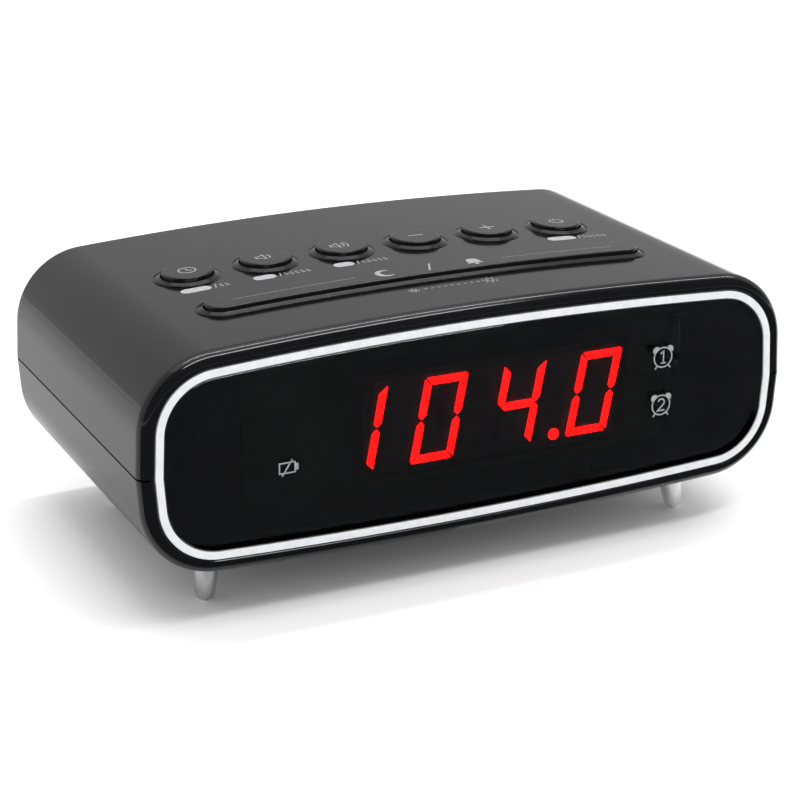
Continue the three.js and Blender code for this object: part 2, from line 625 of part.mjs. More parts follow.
const LEFT_PLATE = BAY.x0 + GAP;
const RIGHT_PLATE = BAY.x1 - GAP - CONTACT.thick;
const WELD = 0.1; // how far a spring's first turn sinks into its plate

const positiveContact = () => contactPlate(LEFT_PLATE, NEAR_CELL, NEAR_CELL)
  .add(contactBump(LEFT_PLATE + CONTACT.thick, NEAR_CELL, 1));
const negativeContact = () => contactPlate(LEFT_PLATE, FAR_CELL, FAR_CELL)
  .add(contactSpring(LEFT_PLATE + CONTACT.thick - WELD, FAR_CELL, 1));
const bridgeContact = () => contactPlate(RIGHT_PLATE, NEAR_CELL, FAR_CELL)
  .add(contactSpring(RIGHT_PLATE + WELD, NEAR_CELL, -1))
  .add(contactBump(RIGHT_PLATE, FAR_CELL, -1));

// ---- Feet ----

// A tapered leg with a round nose, leaning out to its corner, cut to sit on the case and the ground.
function foot([x, y]) {
  const noseTop = FOOT.nose * 0.9;
  const nose = arc(0, noseTop, FOOT.nose, -Math.PI / 2, 0, 6).map((p) => [p.x, p.y]);
  const profile = [...nose, [FOOT.top, FOOT.height], [0, FOOT.height]];
  const points = profile.map(([radius, height]) => new THREE.Vector2(Math.max(radius, 0), height));
  const leg = new THREE.LatheGeometry(points, ROUND);
  leg.rotateX(Math.PI / 2);
  leg.rotateY(-Math.sign(x) * FOOT_SPLAY);
  leg.rotateX(Math.sign(y) * FOOT_SPLAY);
  leg.translate(x + Math.sign(x) * FOOT.lean, y + Math.sign(y) * FOOT.lean, -FOOT.sink);
  const ground = box(WIDE, WIDE, [-FAR, 0]);
  const stud = hole(x, y, FOOT_STUD.radius, FOOT_STUD.bottom, FOOT_STUD.top);
  return cutBy(solid(leg), [caseBlock(-GAP), ground]).add(stud);
}

// ---- Screws ----

// A cross-head screw that points up, with its head's bearing face at height zero.
function screw({ headRadius, headHeight, shaftRadius, length }) {
  const head = post(0, 0, headRadius * 0.9, -headHeight, 0, headRadius);
  const shaft = hole(0, 0, shaftRadius, -headHeight / 10, length);
  const [reach, thick, deep] = [headRadius * 0.6, headRadius * 0.12, headHeight * 0.55];
  const bars = [[reach, thick], [thick, reach]].map(([hx, hy]) => {
    return box([-hx, hx], [-hy, hy], [-headHeight - 1, -headHeight + deep]);
  });
  return cutBy(head.add(shaft), bars);
}

// ---- Assembly ----

function addCase() {
  const skin = caseSkin();
  addPart("top_shell", topShell(skin), "gloss_black");
  addPart("bottom_shell", bottomShell(skin), "gloss_black");
  addPart("trim_ring", trimRing(), "bright_trim");
  addPart("display_lens", displayLens(), "smoked_lens");
  addPart("battery_door", batteryDoor(), "gloss_black");
  addPart("antenna_gland", antennaGland(), "soft_black");
  footPlaces().forEach((place, i) => addPart(`foot_${CORNER_NAMES[i]}`, foot(place), "satin_metal"));
}

function addControls() {
  for (const control of controls) {
    const make = control.name === "snooze_bar" ? snoozeBar : buttonCap;
    addPart(control.name, make(control), "cap_black");
    const place = [...control.switchAt, KEY_BOARD_TOP];
    addPart(`switch_${control.switchName}`, switchBody(), "chip_black", place);
    addPart(`plunger_${control.switchName}`, plunger(), "switch_white", place);
  }
}

function addElectronics() {
  addPart("key_board", keyBoard(), "circuit_board");
  addPart("main_board", mainBoard(), "circuit_board");
  addPart("display_board", displayBoard(), "circuit_board");
  addPart("led_display", ledDisplay(), "display_grey");
  addPart("ribbon_cable", ribbonCable(), "ribbon_grey");
  addPart("control_chip", onMainBoard(CHIP), "chip_black");
  addPart("tuner_can", onMainBoard(TUNER), "tin");
  addPart("clock_crystal", onMainBoard(CRYSTAL), "tin");
  const { x, y, radius, height } = CAPACITOR;
  const capacitor = post(x, y, radius, MAIN_BOARD_TOP + GAP, MAIN_BOARD_TOP + height);
  addPart("filter_capacitor", capacitor, "capacitor_sleeve");
  addPart("dc_jack", dcJack(), "chip_black");
}

function addSpeaker() {
  const place = [SPEAKER.x, SPEAKER.y, PARTING];
  addPart("speaker_basket", speakerBasket(), "tin", place);
  addPart("speaker_magnet", speakerMagnet(), "magnet_grey", place);
  addPart("speaker_cone", speakerCone(), "paper_cone", place);
}

function addBatteryContacts() {
  addPart("battery_contact_positive", positiveContact(), "tin");
  addPart("battery_contact_negative", negativeContact(), "tin");
  addPart("battery_contact_bridge", bridgeContact(), "tin");
}

function addScrews() {
  const caseScrew = screw({ headRadius: 2.9, headHeight: 2, shaftRadius: 1.25, length: 19 });
  caseScrewPlaces().forEach(([x, y], i) => {
    addPart(`case_screw_${CORNER_NAMES[i]}`, caseScrew, "tin", [x, y, CASE_SCREW.seat - GAP]);
  });
  const boardScrew = screw({ headRadius: 2.3, headHeight: 1.5, shaftRadius: 0.9, length: 8 });
  keyPostPlaces().forEach(([x, y], i) => {
    addPart(`key_board_screw_${CORNER_NAMES[i]}`, boardScrew, "tin", [x, y, KEY_BOARD_TOP - BOARD - GAP]);
  });
}

addCase();
addControls();
addElectronics();
addSpeaker();
addBatteryContacts();
addScrews();

export default radio;
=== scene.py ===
import json
import math

import bmesh
import bpy
import numpy as np
from mathutils import Matrix, Vector
from mathutils.geometry import tessellate_polygon

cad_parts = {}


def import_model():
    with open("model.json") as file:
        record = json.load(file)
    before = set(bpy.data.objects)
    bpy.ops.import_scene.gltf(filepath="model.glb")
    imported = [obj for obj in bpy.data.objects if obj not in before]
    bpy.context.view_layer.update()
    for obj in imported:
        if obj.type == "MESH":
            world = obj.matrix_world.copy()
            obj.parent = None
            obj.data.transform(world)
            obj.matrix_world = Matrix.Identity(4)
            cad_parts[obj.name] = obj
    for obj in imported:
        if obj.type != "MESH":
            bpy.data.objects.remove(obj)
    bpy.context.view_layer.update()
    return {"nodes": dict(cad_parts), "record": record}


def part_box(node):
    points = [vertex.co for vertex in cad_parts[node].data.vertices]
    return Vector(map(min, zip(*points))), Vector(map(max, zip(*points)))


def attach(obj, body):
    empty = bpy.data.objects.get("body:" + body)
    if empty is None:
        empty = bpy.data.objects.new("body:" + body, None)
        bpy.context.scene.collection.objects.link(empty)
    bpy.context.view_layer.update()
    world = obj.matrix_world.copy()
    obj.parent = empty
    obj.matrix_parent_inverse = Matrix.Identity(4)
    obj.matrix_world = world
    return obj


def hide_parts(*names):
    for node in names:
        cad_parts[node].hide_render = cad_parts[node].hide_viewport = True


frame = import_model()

MM = 0.001


# ---- The frame's dimensions. A shape is drawn in metres, as the CAD is ----

def low(node):
    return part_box(node)[0]


def high(node):
    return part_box(node)[1]


SEAM = 0.25 * MM  # half of the gap between the two shells
PARTING = low("top_shell").z - SEAM
HALF_WIDTH = high("top_shell").x
FRONT = low("top_shell").y
BACK = high("top_shell").y
DROP = PARTING - low("bottom_shell").z
RIM = high("top_shell").x - high("trim_ring").x - 0.3 * MM
RING_OUTER = RIM + 0.3 * MM
RISE = high("trim_ring").z - PARTING + RING_OUTER
LENS_INSET = HALF_WIDTH - high("display_lens").x
RING_INNER = LENS_INSET - 0.3 * MM
FACE_BACK = high("display_lens").y
LEDGE_Y = FACE_BACK + 0.3 * MM
LEDGE_INSET = 9 * MM
TOP_CROWN, BOTTOM_CROWN = 3.8 * MM, 2.7 * MM
UPPER_LEAN, LOWER_LEAN = 1.8 * MM, 1.9 * MM
CORNER_RADIUS = 20.4 * MM
FRONT_FILLET, REAR_FILLET = 3.2 * MM, 2.1 * MM
WALL = 2.2 * MM

BUTTONS = ["set", "volume_down", "volume_up", "minus", "plus", "power"]


def middle(node):
    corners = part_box(node)
    return (corners[0] + corners[1]) / 2


FLANGE_OUT = 1.5 * MM  # the flange under each cap is this much wider than the cap
BUTTON_RADIUS = (high("button_plus").y - low("button_plus").y) / 2 - FLANGE_OUT
BUTTON_ROW = middle("button_plus").y
BUTTON_X = [middle("plunger_" + name).x for name in BUTTONS]
PITCH = BUTTON_X[1] - BUTTON_X[0]
BAR_ROW = middle("snooze_bar").y
BAR_X = middle("plunger_snooze").x
BAR_RADIUS = (high("snooze_bar").y - low("snooze_bar").y) / 2 - FLANGE_OUT
BAR_STRAIGHT = high("snooze_bar").x - BAR_X - FLANGE_OUT - BAR_RADIUS
CAP_PROUD = high("snooze_bar").z - PARTING - RISE - 0.04 * MM
CAP_GAP = 0.35 * MM
SPEAKER = middle("speaker_magnet")
DOOR_LOW, DOOR_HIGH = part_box("battery_door")
DOOR_RECESS = 2.1 * MM


# ---- Meshes ----

class Sheet:
    """The points and faces of a mesh while it is put together."""

    def __init__(self):
        self.points = []
        self.faces = []

    def add(self, points):
        start = len(self.points)
        self.points.extend(tuple(p) for p in points)
        return list(range(start, len(self.points)))

    def strip(self, first, second, closed=True):
        count = len(first)
        for i in range(count if closed else count - 1):
            j = (i + 1) % count
            self.faces.append((first[i], first[j], second[j], second[i]))

    def loft(self, rings, closed=True):
        """Rows of points joined one to the next. Returns the first and the last row."""
        rows = [self.add(ring) for ring in rings]
        for before, after in zip(rows, rows[1:]):
            self.strip(before, after, closed)
        return rows[0], rows[-1]

    def flat(self, *loops):
        """A flat face inside the first loop, with the other loops as holes."""
        indices = [i for loop in loops for i in loop]
        shapes = [[Vector(self.points[i]) for i in loop] for loop in loops]
        for triangle in tessellate_polygon(shapes):
            self.faces.append(tuple(indices[k] for k in triangle))

    def prism(self, outline, thick):
        """A closed plate: outline points with their outward direction, between -thick and +thick."""
        sides = [self.add([p + n * h for p, n in outline]) for h in (-thick, thick)]
        self.strip(*sides)
        for side in sides:
            self.faces.append(tuple(side))


def mesh_of(sheet, away=None):
    """A mesh with its faces turned outward. With away, the farthest face in that direction faces it."""
    mesh = bpy.data.meshes.new("piece")
    mesh.from_pydata(sheet.points, [], sheet.faces)
    work = bmesh.new()
    work.from_mesh(mesh)
    bmesh.ops.remove_doubles(work, verts=work.verts, dist=1e-6)
    bmesh.ops.delete(work, geom=[v for v in work.verts if not v.link_faces], context="VERTS")
    bmesh.ops.recalc_face_normals(work, faces=work.faces)
    if away is not None:
        work.faces.ensure_lookup_table()
        farthest = max(work.faces, key=lambda f: f.calc_center_median().dot(away))
        if farthest.normal.dot(away) < 0:
            bmesh.ops.reverse_faces(work, faces=work.faces)
    work.to_mesh(mesh)
    work.free()
    return mesh


def piece(name, sheet, material, body, replaced=(), away=None, wall=None, crease=32, bevel=None):
    """One finished object: a closed mesh, or an open sheet that a wall thickness closes."""
    made = bpy.data.objects.new(name, mesh_of(sheet, away))
    bpy.context.scene.collection.objects.link(made)
    if wall is not None:
        thicken(made, wall)
    made.data.shade_smooth()
    made.data.set_sharp_from_angle(angle=math.radians(crease))
    if bevel is not None:
        soften(made, bevel)
    weighted = made.modifiers.new("normals", "WEIGHTED_NORMAL")
    weighted.keep_sharp = True
    weighted.weight = 80
    made.data.materials.append(material)
    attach(made, body)
    if replaced:
        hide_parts(*replaced)
    return made


def thicken(made, wall):
    solidify = made.modifiers.new("wall", "SOLIDIFY")
    solidify.thickness = wall
    solidify.offset = -1
    solidify.use_even_offset = True
    graph = bpy.context.evaluated_depsgraph_get()
    thick = bpy.data.meshes.new_from_object(made.evaluated_get(graph))
    made.modifiers.clear()
    made.data = thick


def soften(made, width):
    bevel = made.modifiers.new("edges", "BEVEL")
    bevel.width = width
    bevel.segments = 3
    bevel.limit_method = "ANGLE"
    bevel.angle_limit = math.radians(35)
    bevel.harden_normals = False


def unit(vector):
    return vector / np.linalg.norm(vector, axis=-1, keepdims=True)


# ---- The case's cross-section: a leaning side, a corner arc and a crown arc, each tangent to the next ----

class Half:
    """The section above or below the seam. sign is 1 above and -1 below."""

    def __init__(self, height, crown, lean, sign):
        self.sign = sign
        half = HALF_WIDTH
        self.crown_radius = (half * half + crown * crown) / (2 * crown)
        self.crown_centre = height - self.crown_radius
        side = math.hypot(lean, height)
        start_x = half - CORNER_RADIUS * height / side
        start_z = -CORNER_RADIUS * lean / side - self.crown_centre
        along = (-lean * start_x + height * start_z) / side
        reach = self.crown_radius - CORNER_RADIUS
        climb = math.sqrt(along**2 - start_x**2 - start_z**2 + reach**2) - along
        self.x = start_x - climb * lean / side
        self.z = start_z + self.crown_centre + climb * height / side
        self.lean = math.atan2(lean, height)
        self.meet = math.atan2(self.z - self.crown_centre, self.x)
        self.meet_x = self.crown_radius * math.cos(self.meet)

    def height(self, x):
        """How far the surface is from the seam at x."""
        x = np.abs(np.asarray(x, float))
        crown = self.crown_centre + np.sqrt(self.crown_radius**2 - x**2)
        out = np.clip(x - self.x, 0, CORNER_RADIUS)
        corner = self.z + np.sqrt(CORNER_RADIUS**2 - out**2)
        return np.where(x <= self.meet_x, crown, corner)

    def columns(self, stops, step):
        """Points and outward directions from the right seam up to the middle, with a point at each stop."""
        corner = np.array([self.x, self.z])
        right = []
        first = np.array([math.cos(self.lean), math.sin(self.lean)])
        foot = np.array([HALF_WIDTH, 0])
        top = corner + CORNER_RADIUS * first
        for t in np.linspace(SEAM / top[1], 1, 5)[:-1]:
            right.append((foot + t * (top - foot), np.array([1, 0]) + t * (first - np.array([1, 0]))))
        corner_stops = [math.acos((x - self.x) / CORNER_RADIUS) for x in stops if x > self.meet_x]
        angles = divided([self.lean, *sorted(corner_stops), self.meet], math.radians(4))
        for angle in angles[:-1]:
            direction = np.array([math.cos(angle), math.sin(angle)])
            right.append((corner + CORNER_RADIUS * direction, direction))
        inner = sorted(x for x in stops if x < self.meet_x)
        for x in reversed(divided([*inner, self.meet_x], step)):
            direction = np.array([x, math.sqrt(self.crown_radius**2 - x**2)]) / self.crown_radius
            right.append((np.array([0, self.crown_centre]) + self.crown_radius * direction, direction))
        return right


def divided(stops, step):
    """The stops with even points between them, no farther apart than the step."""
    out = [stops[0]]
    for start, end in zip(stops, stops[1:]):
        count = max(1, math.ceil((end - start) / step - 1e-6))
        out.extend(start + (end - start) * (i + 1) / count for i in range(count))
    return out


UPPER = Half(RISE, TOP_CROWN, UPPER_LEAN, 1)
LOWER = Half(DROP, BOTTOM_CROWN, LOWER_LEAN, -1)


def full_section(half, stops, step):
    """Base points and directions of one half from seam to seam. The stops may be uneven left and right."""
    right = half.columns(sorted({x for x in stops if x >= 0} | {0}), step)
    left = half.columns(sorted({-x for x in stops if x <= 0} | {0}), step)
    mirrored = [(p * [-1, 1], n * [-1, 1]) for p, n in left[:-1]]
    both = right + mirrored[::-1]
    base = np.array([p for p, _ in both])
    out = np.array([n for _, n in both])
    base[:, 1] *= half.sign
    out[:, 1] *= half.sign
    return base, out


def row_points(section, inset, y):
    base, out = section
    flat = base - inset * out
    return np.column_stack([flat[:, 0], np.full(len(flat), y), PARTING + flat[:, 1]])


def closed_outline(inset, y):
    """The whole case outline at one depth."""
    upper = full_section(UPPER, [0], 3 * MM)
    lower = full_section(LOWER, [0], 3 * MM)
    above = row_points(upper, inset, y)
    below = row_points(lower, inset, y)[::-1]
    return np.vstack([above, below])


# ---- The shell's skin: a grid of columns and rows, with pockets let into it ----

def quarter(start, end, steps):
    return np.linspace(start, end, steps + 1)


def front_rows():
    """Insets and depths from the ledge behind the lens, out over the rim and its roundover."""
    edge = 0.15 * MM
    rows = [(LEDGE_INSET, LEDGE_Y), (RIM, LEDGE_Y), (RIM, FRONT + edge)]
    rows.append((RIM - edge, FRONT))
    for angle in quarter(0, math.pi / 2, 12):
        inset = FRONT_FILLET * (1 - math.sin(angle))
        rows.append((inset, FRONT + FRONT_FILLET * (1 - math.cos(angle))))
    return rows


def rear_rows():
    rows = []
    for angle in quarter(0, math.pi / 2, 9):
        inset = REAR_FILLET * (1 - math.cos(angle))
        rows.append((inset, BACK - REAR_FILLET * (1 - math.sin(angle))))
    return rows


class Skin(Sheet):
    """One shell's outside, as a grid over the section's columns and rows from front to back."""

    def __init__(self, half, x_stops, y_stops, step):
        super().__init__()
        self.half = half
        self.section = full_section(half, x_stops, step)
        body = divided([FRONT + FRONT_FILLET, *sorted(y_stops), BACK - REAR_FILLET], step)
        self.rows = front_rows() + [(0, y) for y in body[1:-1]] + rear_rows()
        self.grid = [self.add(row_points(self.section, inset, y)) for inset, y in self.rows]
        self.skipped = set()
        self.depth_rows = np.array([y for _, y in self.rows])
        self.column_x = self.section[0][:, 0]
        self.first_body_row = len(front_rows()) - 1

    def column(self, x):
        return int(np.argmin(np.abs(self.column_x - x)))

    def row(self, y):
        body = self.depth_rows[self.first_body_row:]
        return self.first_body_row + int(np.argmin(np.abs(body - y)))

    def clear(self, x0, x1, y0, y1):
        """Leaves out the faces in a box and returns the loop of points round it."""
        i1, i0 = self.column(x0), self.column(x1)
        j0, j1 = self.row(y0), self.row(y1)
        self.skipped |= {(j, i) for j in range(j0, j1) for i in range(i0, i1)}
        loop = [self.grid[j0][i] for i in range(i0, i1)]
        loop += [self.grid[j][i1] for j in range(j0, j1)]
        loop += [self.grid[j1][i] for i in range(i1, i0, -1)]
        loop += [self.grid[j][i0] for j in range(j1, j0, -1)]
        return loop

    def surface(self, x, depth):
        return PARTING + self.half.sign * (self.half.height(x) - depth)

    def pocket(self, loop, centre, straight, profile):
        """Rings from the loop in to a round or long opening. A profile is radii and depths from the skin."""
        around = np.array([self.points[i] for i in loop])[:, :2]
        core = np.column_stack([
            centre[0] + np.clip(around[:, 0] - centre[0], -straight, straight),
            np.full(len(loop), centre[1]),
        ])
        toward = unit(around - core)
        before = loop
        for radius, depth in profile:
            at = core + radius * toward
            ring = self.add(np.column_stack([at, self.surface(at[:, 0], depth)]))
            self.strip(before, ring)
            before = ring
        return before

    def fill(self):
        for j in range(len(self.grid) - 1):
            for i in range(len(self.grid[0]) - 1):
                if (j, i) not in self.skipped:
                    a, b = self.grid[j], self.grid[j + 1]
                    self.faces.append((a[i], a[i + 1], b[i + 1], b[i]))


def ring_at(centre, radius, y, count=48):
    """A circle in an upright plane that faces front and back."""
    angles = np.linspace(0, 2 * math.pi, count, endpoint=False)
    return [
        (centre[0] + radius * math.cos(a), y, centre[1] + radius * math.sin(a)) for a in angles
    ]


# ---- The raised margins round the controls ----

BEZEL_OUT = 1.65 * MM
BEZEL_EDGE = 0.30 * MM  # height of the margin at its outer edge
BEZEL_RISE = 0.75 * MM  # height at its inner edge


def bezel_profile(radius):
    """Radii and depths from the skin up the margin's outer edge, over its slope and down past the cap."""
    foot, soft = radius + BEZEL_OUT, 0.3 * MM
    profile = [(foot + 0.3 * MM, 0), (foot + 0.1 * MM, 0), (foot + 0.02 * MM, -0.04 * MM)]
    start = 0.08 * MM
    for angle in quarter(0, math.pi / 2, 8):
        rise = start + (BEZEL_EDGE - start) * math.sin(angle)
        profile.append((foot - soft * (1 - math.cos(angle)), -rise))
    edge = radius + CAP_GAP
    profile.append((edge + 0.2 * MM, -BEZEL_RISE))
    profile.append((edge + 0.05 * MM, -BEZEL_RISE + 0.02 * MM))
    profile.append((edge, -BEZEL_RISE + 0.12 * MM))
    profile.append((edge, 4.4 * MM))
    return profile


CELL = PITCH / 2
BAR_CELL = 10 * MM
JACK_Z = PARTING + 8.4 * MM
JACK_HOLE = 4.9 * MM
GLAND_RECESS, GLAND_HOLE = 5 * MM, 3.2 * MM
RECESS_DEPTH = 1.1 * MM
UPPER_WALL, LOWER_WALL = 1.9 * MM, 1.8 * MM


def top_shell():
    cells = [x + side * CELL for x in BUTTON_X for side in (-1, 1)]
    rows = [BAR_ROW - BAR_CELL, BAR_ROW + BAR_CELL, BUTTON_ROW - CELL, BUTTON_ROW + CELL]
    stops = sorted({round(x, 6) for x in cells})
    skin = Skin(UPPER, stops, rows, PITCH / 12)
    for x in BUTTON_X:
        loop = skin.clear(x - CELL, x + CELL, BUTTON_ROW - CELL, BUTTON_ROW + CELL)
        skin.pocket(loop, (x, BUTTON_ROW), 0, bezel_profile(BUTTON_RADIUS))
    ends = BUTTON_X[0] - CELL, BUTTON_X[-1] + CELL
    loop = skin.clear(*ends, BAR_ROW - BAR_CELL, BAR_ROW + BAR_CELL)
    skin.pocket(loop, (BAR_X, BAR_ROW), BAR_STRAIGHT, bezel_profile(BAR_RADIUS))
    skin.fill()
    jack, gland = middle("dc_jack"), middle("antenna_gland")
    jack_hole = skin.add(ring_at((jack.x, JACK_Z), JACK_HOLE, BACK))
    recess = skin.add(ring_at((gland.x, gland.z), GLAND_RECESS, BACK))
    recess_floor = skin.add(ring_at((gland.x, gland.z), GLAND_RECESS, BACK - RECESS_DEPTH))
    gland_hole = skin.add(ring_at((gland.x, gland.z), GLAND_HOLE, BACK - RECESS_DEPTH))
    skin.strip(recess, recess_floor)
    skin.strip(recess_floor, gland_hole)
    skin.flat(skin.grid[-1], jack_hole, recess)
    return piece("top_shell_skin", skin, looks["gloss_black"], "case",
                 ["top_shell"], away=Vector((0, 0, 1)), wall=UPPER_WALL)


def slot_places():
    """Each grille slot's two sides and its half length, in the round outline of the speaker."""
    pitch, width, reach, count = 4.4 * MM, 2.2 * MM, 21 * MM, 9
    for i in range(count):
        x = (i - (count - 1) / 2) * pitch
        yield SPEAKER.x + x - width / 2, SPEAKER.x + x + width / 2, math.sqrt(reach**2 - x**2)


def screw_places():
    return [middle("case_screw_" + corner) for corner in CORNERS]


CORNERS = ["front_left", "rear_left", "front_right", "rear_right"]
WELL_CELL = 4.8 * MM
WELL_SEAT = PARTING - 10 * MM
TWIN = 0.06 * MM  # two rows of points this close make an upright step


def bottom_shell():
    slots = list(slot_places())
    margin, ledge = 0.3 * MM, 3.3 * MM
    x0, x1 = DOOR_LOW.x - margin, DOOR_HIGH.x + margin
    y0, y1 = DOOR_LOW.y - margin, DOOR_HIGH.y + margin
    bay = (x0 + ledge, x1 - ledge, y0 + ledge, y1 - ledge)
    stops = [x0, x0 + TWIN, x1 - TWIN, x1, bay[0], bay[1]]
    rows = [y0, y0 + TWIN, y1 - TWIN, y1, bay[2], bay[3]]
    for left, right, half in slots:
        stops += [left, right]
        rows += [SPEAKER.y - half, SPEAKER.y + half]
    for place in screw_places():
        stops += [place.x - WELL_CELL, place.x + WELL_CELL]
        rows += [place.y - WELL_CELL, place.y + WELL_CELL]
    skin = Skin(LOWER, sorted({round(x, 7) for x in stops}), sorted({round(y, 7) for y in rows}), 2.4 * MM)
    sink_door_recess(skin, x0, x1, y0, y1)
    hollow = skin.clear(*bay)
    roof = high("battery_contact_bridge").z + 0.9 * MM
    bay_ring = skin.add([(skin.points[i][0], skin.points[i][1], roof) for i in hollow])
    skin.strip(hollow, bay_ring)
    skin.flat(bay_ring)
    for left, right, half in slots:
        skin.clear(left, right, SPEAKER.y - half, SPEAKER.y + half)
    for place in screw_places():
        well(skin, place)
    skin.fill()
    skin.flat(skin.grid[-1])
    return piece("bottom_shell_skin", skin, looks["gloss_black"], "case",
                 ["bottom_shell"], away=Vector((0, 0, -1)), wall=LOWER_WALL)


def sink_door_recess(skin, x0, x1, y0, y1):
    """Lowers the skin where the battery door lies in it."""
    for row in skin.grid:
        for i in row:
            x, y, z = skin.points[i]
            inside = x0 + TWIN / 2 < x < x1 - TWIN / 2 and y0 + TWIN / 2 < y < y1 - TWIN / 2
            if inside and z < PARTING - DROP / 2:
                skin.points[i] = (x, y, z + DOOR_RECESS)


def well(skin, place):
    """A deep round well with the screw's head on its floor."""
    loop = skin.clear(place.x - WELL_CELL, place.x + WELL_CELL, place.y - WELL_CELL, place.y + WELL_CELL)
    softened = [(3.6 * MM, 0), (3.45 * MM, 0.05 * MM), (3.4 * MM, 0.2 * MM)]
    mouth = skin.pocket(loop, (place.x, place.y), 0, softened)
    floor = skin.add([(skin.points[i][0], skin.points[i][1], WELL_SEAT) for i in mouth])
    skin.strip(mouth, floor)
    narrow = 0.47
    shaft = []
    for i in floor:
        x, y, _ = skin.points[i]
        shaft.append((place.x + (x - place.x) * narrow, place.y + (y - place.y) * narrow, WELL_SEAT))
    shaft = skin.add(shaft)
    skin.strip(floor, shaft)


def seam_lip():
    """A band inside the seam at the sides and back, with a tongue that stands in the seam itself."""
    sheet = Sheet()
    inset, thick, tongue = WALL + 0.35 * MM, 1.2 * MM, 1.75 * MM
    low_edge, high_edge, half = -2.6, 2, 0.2
    section = [(0, low_edge), (0, -half), (-tongue, -half), (-tongue, half)]
    section += [(0, half), (0, high_edge), (thick, high_edge), (thick, low_edge)]
    rows = []
    for grow, z in section:
        x, back = HALF_WIDTH - inset - grow, BACK - inset - grow
        front = FRONT + 1.6 * MM if grow < 0 else LEDGE_Y + 2.3 * MM
        path = [(x, front), (x, back), (-x, back), (-x, front)]
        rows.append(sheet.add([(px, py, PARTING + z * MM) for px, py in path]))
    for first, second in zip(rows, rows[1:] + rows[:1]):
        sheet.strip(first, second, False)
    for k in (0, -1):
        ends = [row[k] for row in rows]
        sheet.faces.append((ends[0], ends[1], ends[4], ends[5], ends[6], ends[7]))
        sheet.faces.append(tuple(ends[1:5]))
    return piece("bottom_shell_lip", sheet, looks["gloss_black"], "case", bevel=0.04 * MM)


# ---- Face ----

def trim_ring():
    sheet = Sheet()
    edge = 0.22 * MM
    profile = [(RING_OUTER, FACE_BACK), (RING_OUTER, FRONT + edge)]
    profile += [(RING_OUTER + edge * 0.3, FRONT + edge * 0.3), (RING_OUTER + edge, FRONT)]
    profile += [(RING_INNER - edge, FRONT), (RING_INNER - edge * 0.3, FRONT + edge * 0.3)]
    profile += [(RING_INNER, FRONT + edge), (RING_INNER, FACE_BACK), (RING_OUTER, FACE_BACK)]
    sheet.loft([closed_outline(inset, y) for inset, y in profile])
    return piece("trim_ring_bright", sheet, looks["bright_trim"], "case", ["trim_ring"])


LENS_FRONT = FRONT + 0.06 * MM


def display_lens():
    sheet = Sheet()
    edge = 0.1 * MM
    profile = [(LENS_INSET, FACE_BACK), (LENS_INSET, LENS_FRONT + edge), (LENS_INSET + edge, LENS_FRONT)]
    back, front = sheet.loft([closed_outline(inset, y) for inset, y in profile])
    sheet.flat(back)
    sheet.flat(front)
    return piece("display_lens_smoked", sheet, looks["smoked_lens"], "case", ["display_lens"])


# ---- Display: a half digit and three whole ones, leaning to the right ----

DIGIT_WIDTH, DIGIT_HEIGHT, BAR = 12.2 * MM, 22.7 * MM, 2.05 * MM
DIGIT_LEFT = [x * MM for x in (-42.6, -19.9, 2.95, 25.75)]
DIGIT_FOOT = PARTING - 8.6 * MM
SLANT = math.tan(math.radians(11.2))
SHOWN = [("bc",), ("abcdef",), ("fgbc",), ("abcdef",)]
SEGMENT_Y = low("led_display").y - 0.1 * MM


def segments():
    """The seven bars of a digit as flat outlines, in the digit's own upright box."""
    w, h, t, g = DIGIT_WIDTH, DIGIT_HEIGHT, BAR, 0.22 * MM
    mid, half = h / 2, t / 2
    top = [(g * 2, h), (w - g * 2, h), (w - t - g, h - t), (t + g, h - t)]
    upper = [(0, h - g * 2), (t, h - t - g), (t, mid + half + g), (half, mid + g), (0, mid + half + g)]
    centre = [(half + g, mid), (t + g, mid + half), (w - t - g, mid + half), (w - half - g, mid),
              (w - t - g, mid - half), (t + g, mid - half)]
    down = lambda shape: [(x, h - y) for x, y in shape]
    across = lambda shape: [(w - x, y) for x, y in shape]
    return {"a": top, "f": upper, "b": across(upper), "g": centre,
            "e": down(upper), "c": across(down(upper)), "d": down(top)}


def on_display(left):
    """Turns a digit's own coordinates into a leaning place on the display's face."""
    def place(x, z):
        return np.array([left + x + z * SLANT, SEGMENT_Y, DIGIT_FOOT + z])
    return place


def add_outline(sheet, shape, place, thick, facing):
    sheet.prism([(place(x, z), facing) for x, z in shape], thick)


FORWARD = np.array([0.0, -1.0, 0.0])


def digits():
    lit, unlit = Sheet(), Sheet()
    for left, shown in zip(DIGIT_LEFT, SHOWN):
        place = on_display(left)
        for name, shape in segments().items():
            if left == DIGIT_LEFT[0] and name not in "bc":
                continue
            sheet = lit if name in shown[0] else unlit
            add_outline(sheet, shape, place, 0.04 * MM, FORWARD)
    dot = [(1.55 * MM * math.cos(a), 1.55 * MM * math.sin(a)) for a in np.linspace(0, 2 * math.pi, 40)[:-1]]
    for x, sheet in ((22.2 * MM, lit), (-0.7 * MM, unlit)):
        centre = np.array([x, SEGMENT_Y, PARTING - 7.25 * MM])
        sheet.prism([(centre + [u, 0, v], FORWARD) for u, v in dot], 0.04 * MM)
    piece("display_segments_lit", lit, looks["segment_lit"], "case")
    piece("display_segments_unlit", unlit, looks["segment_unlit"], "case")


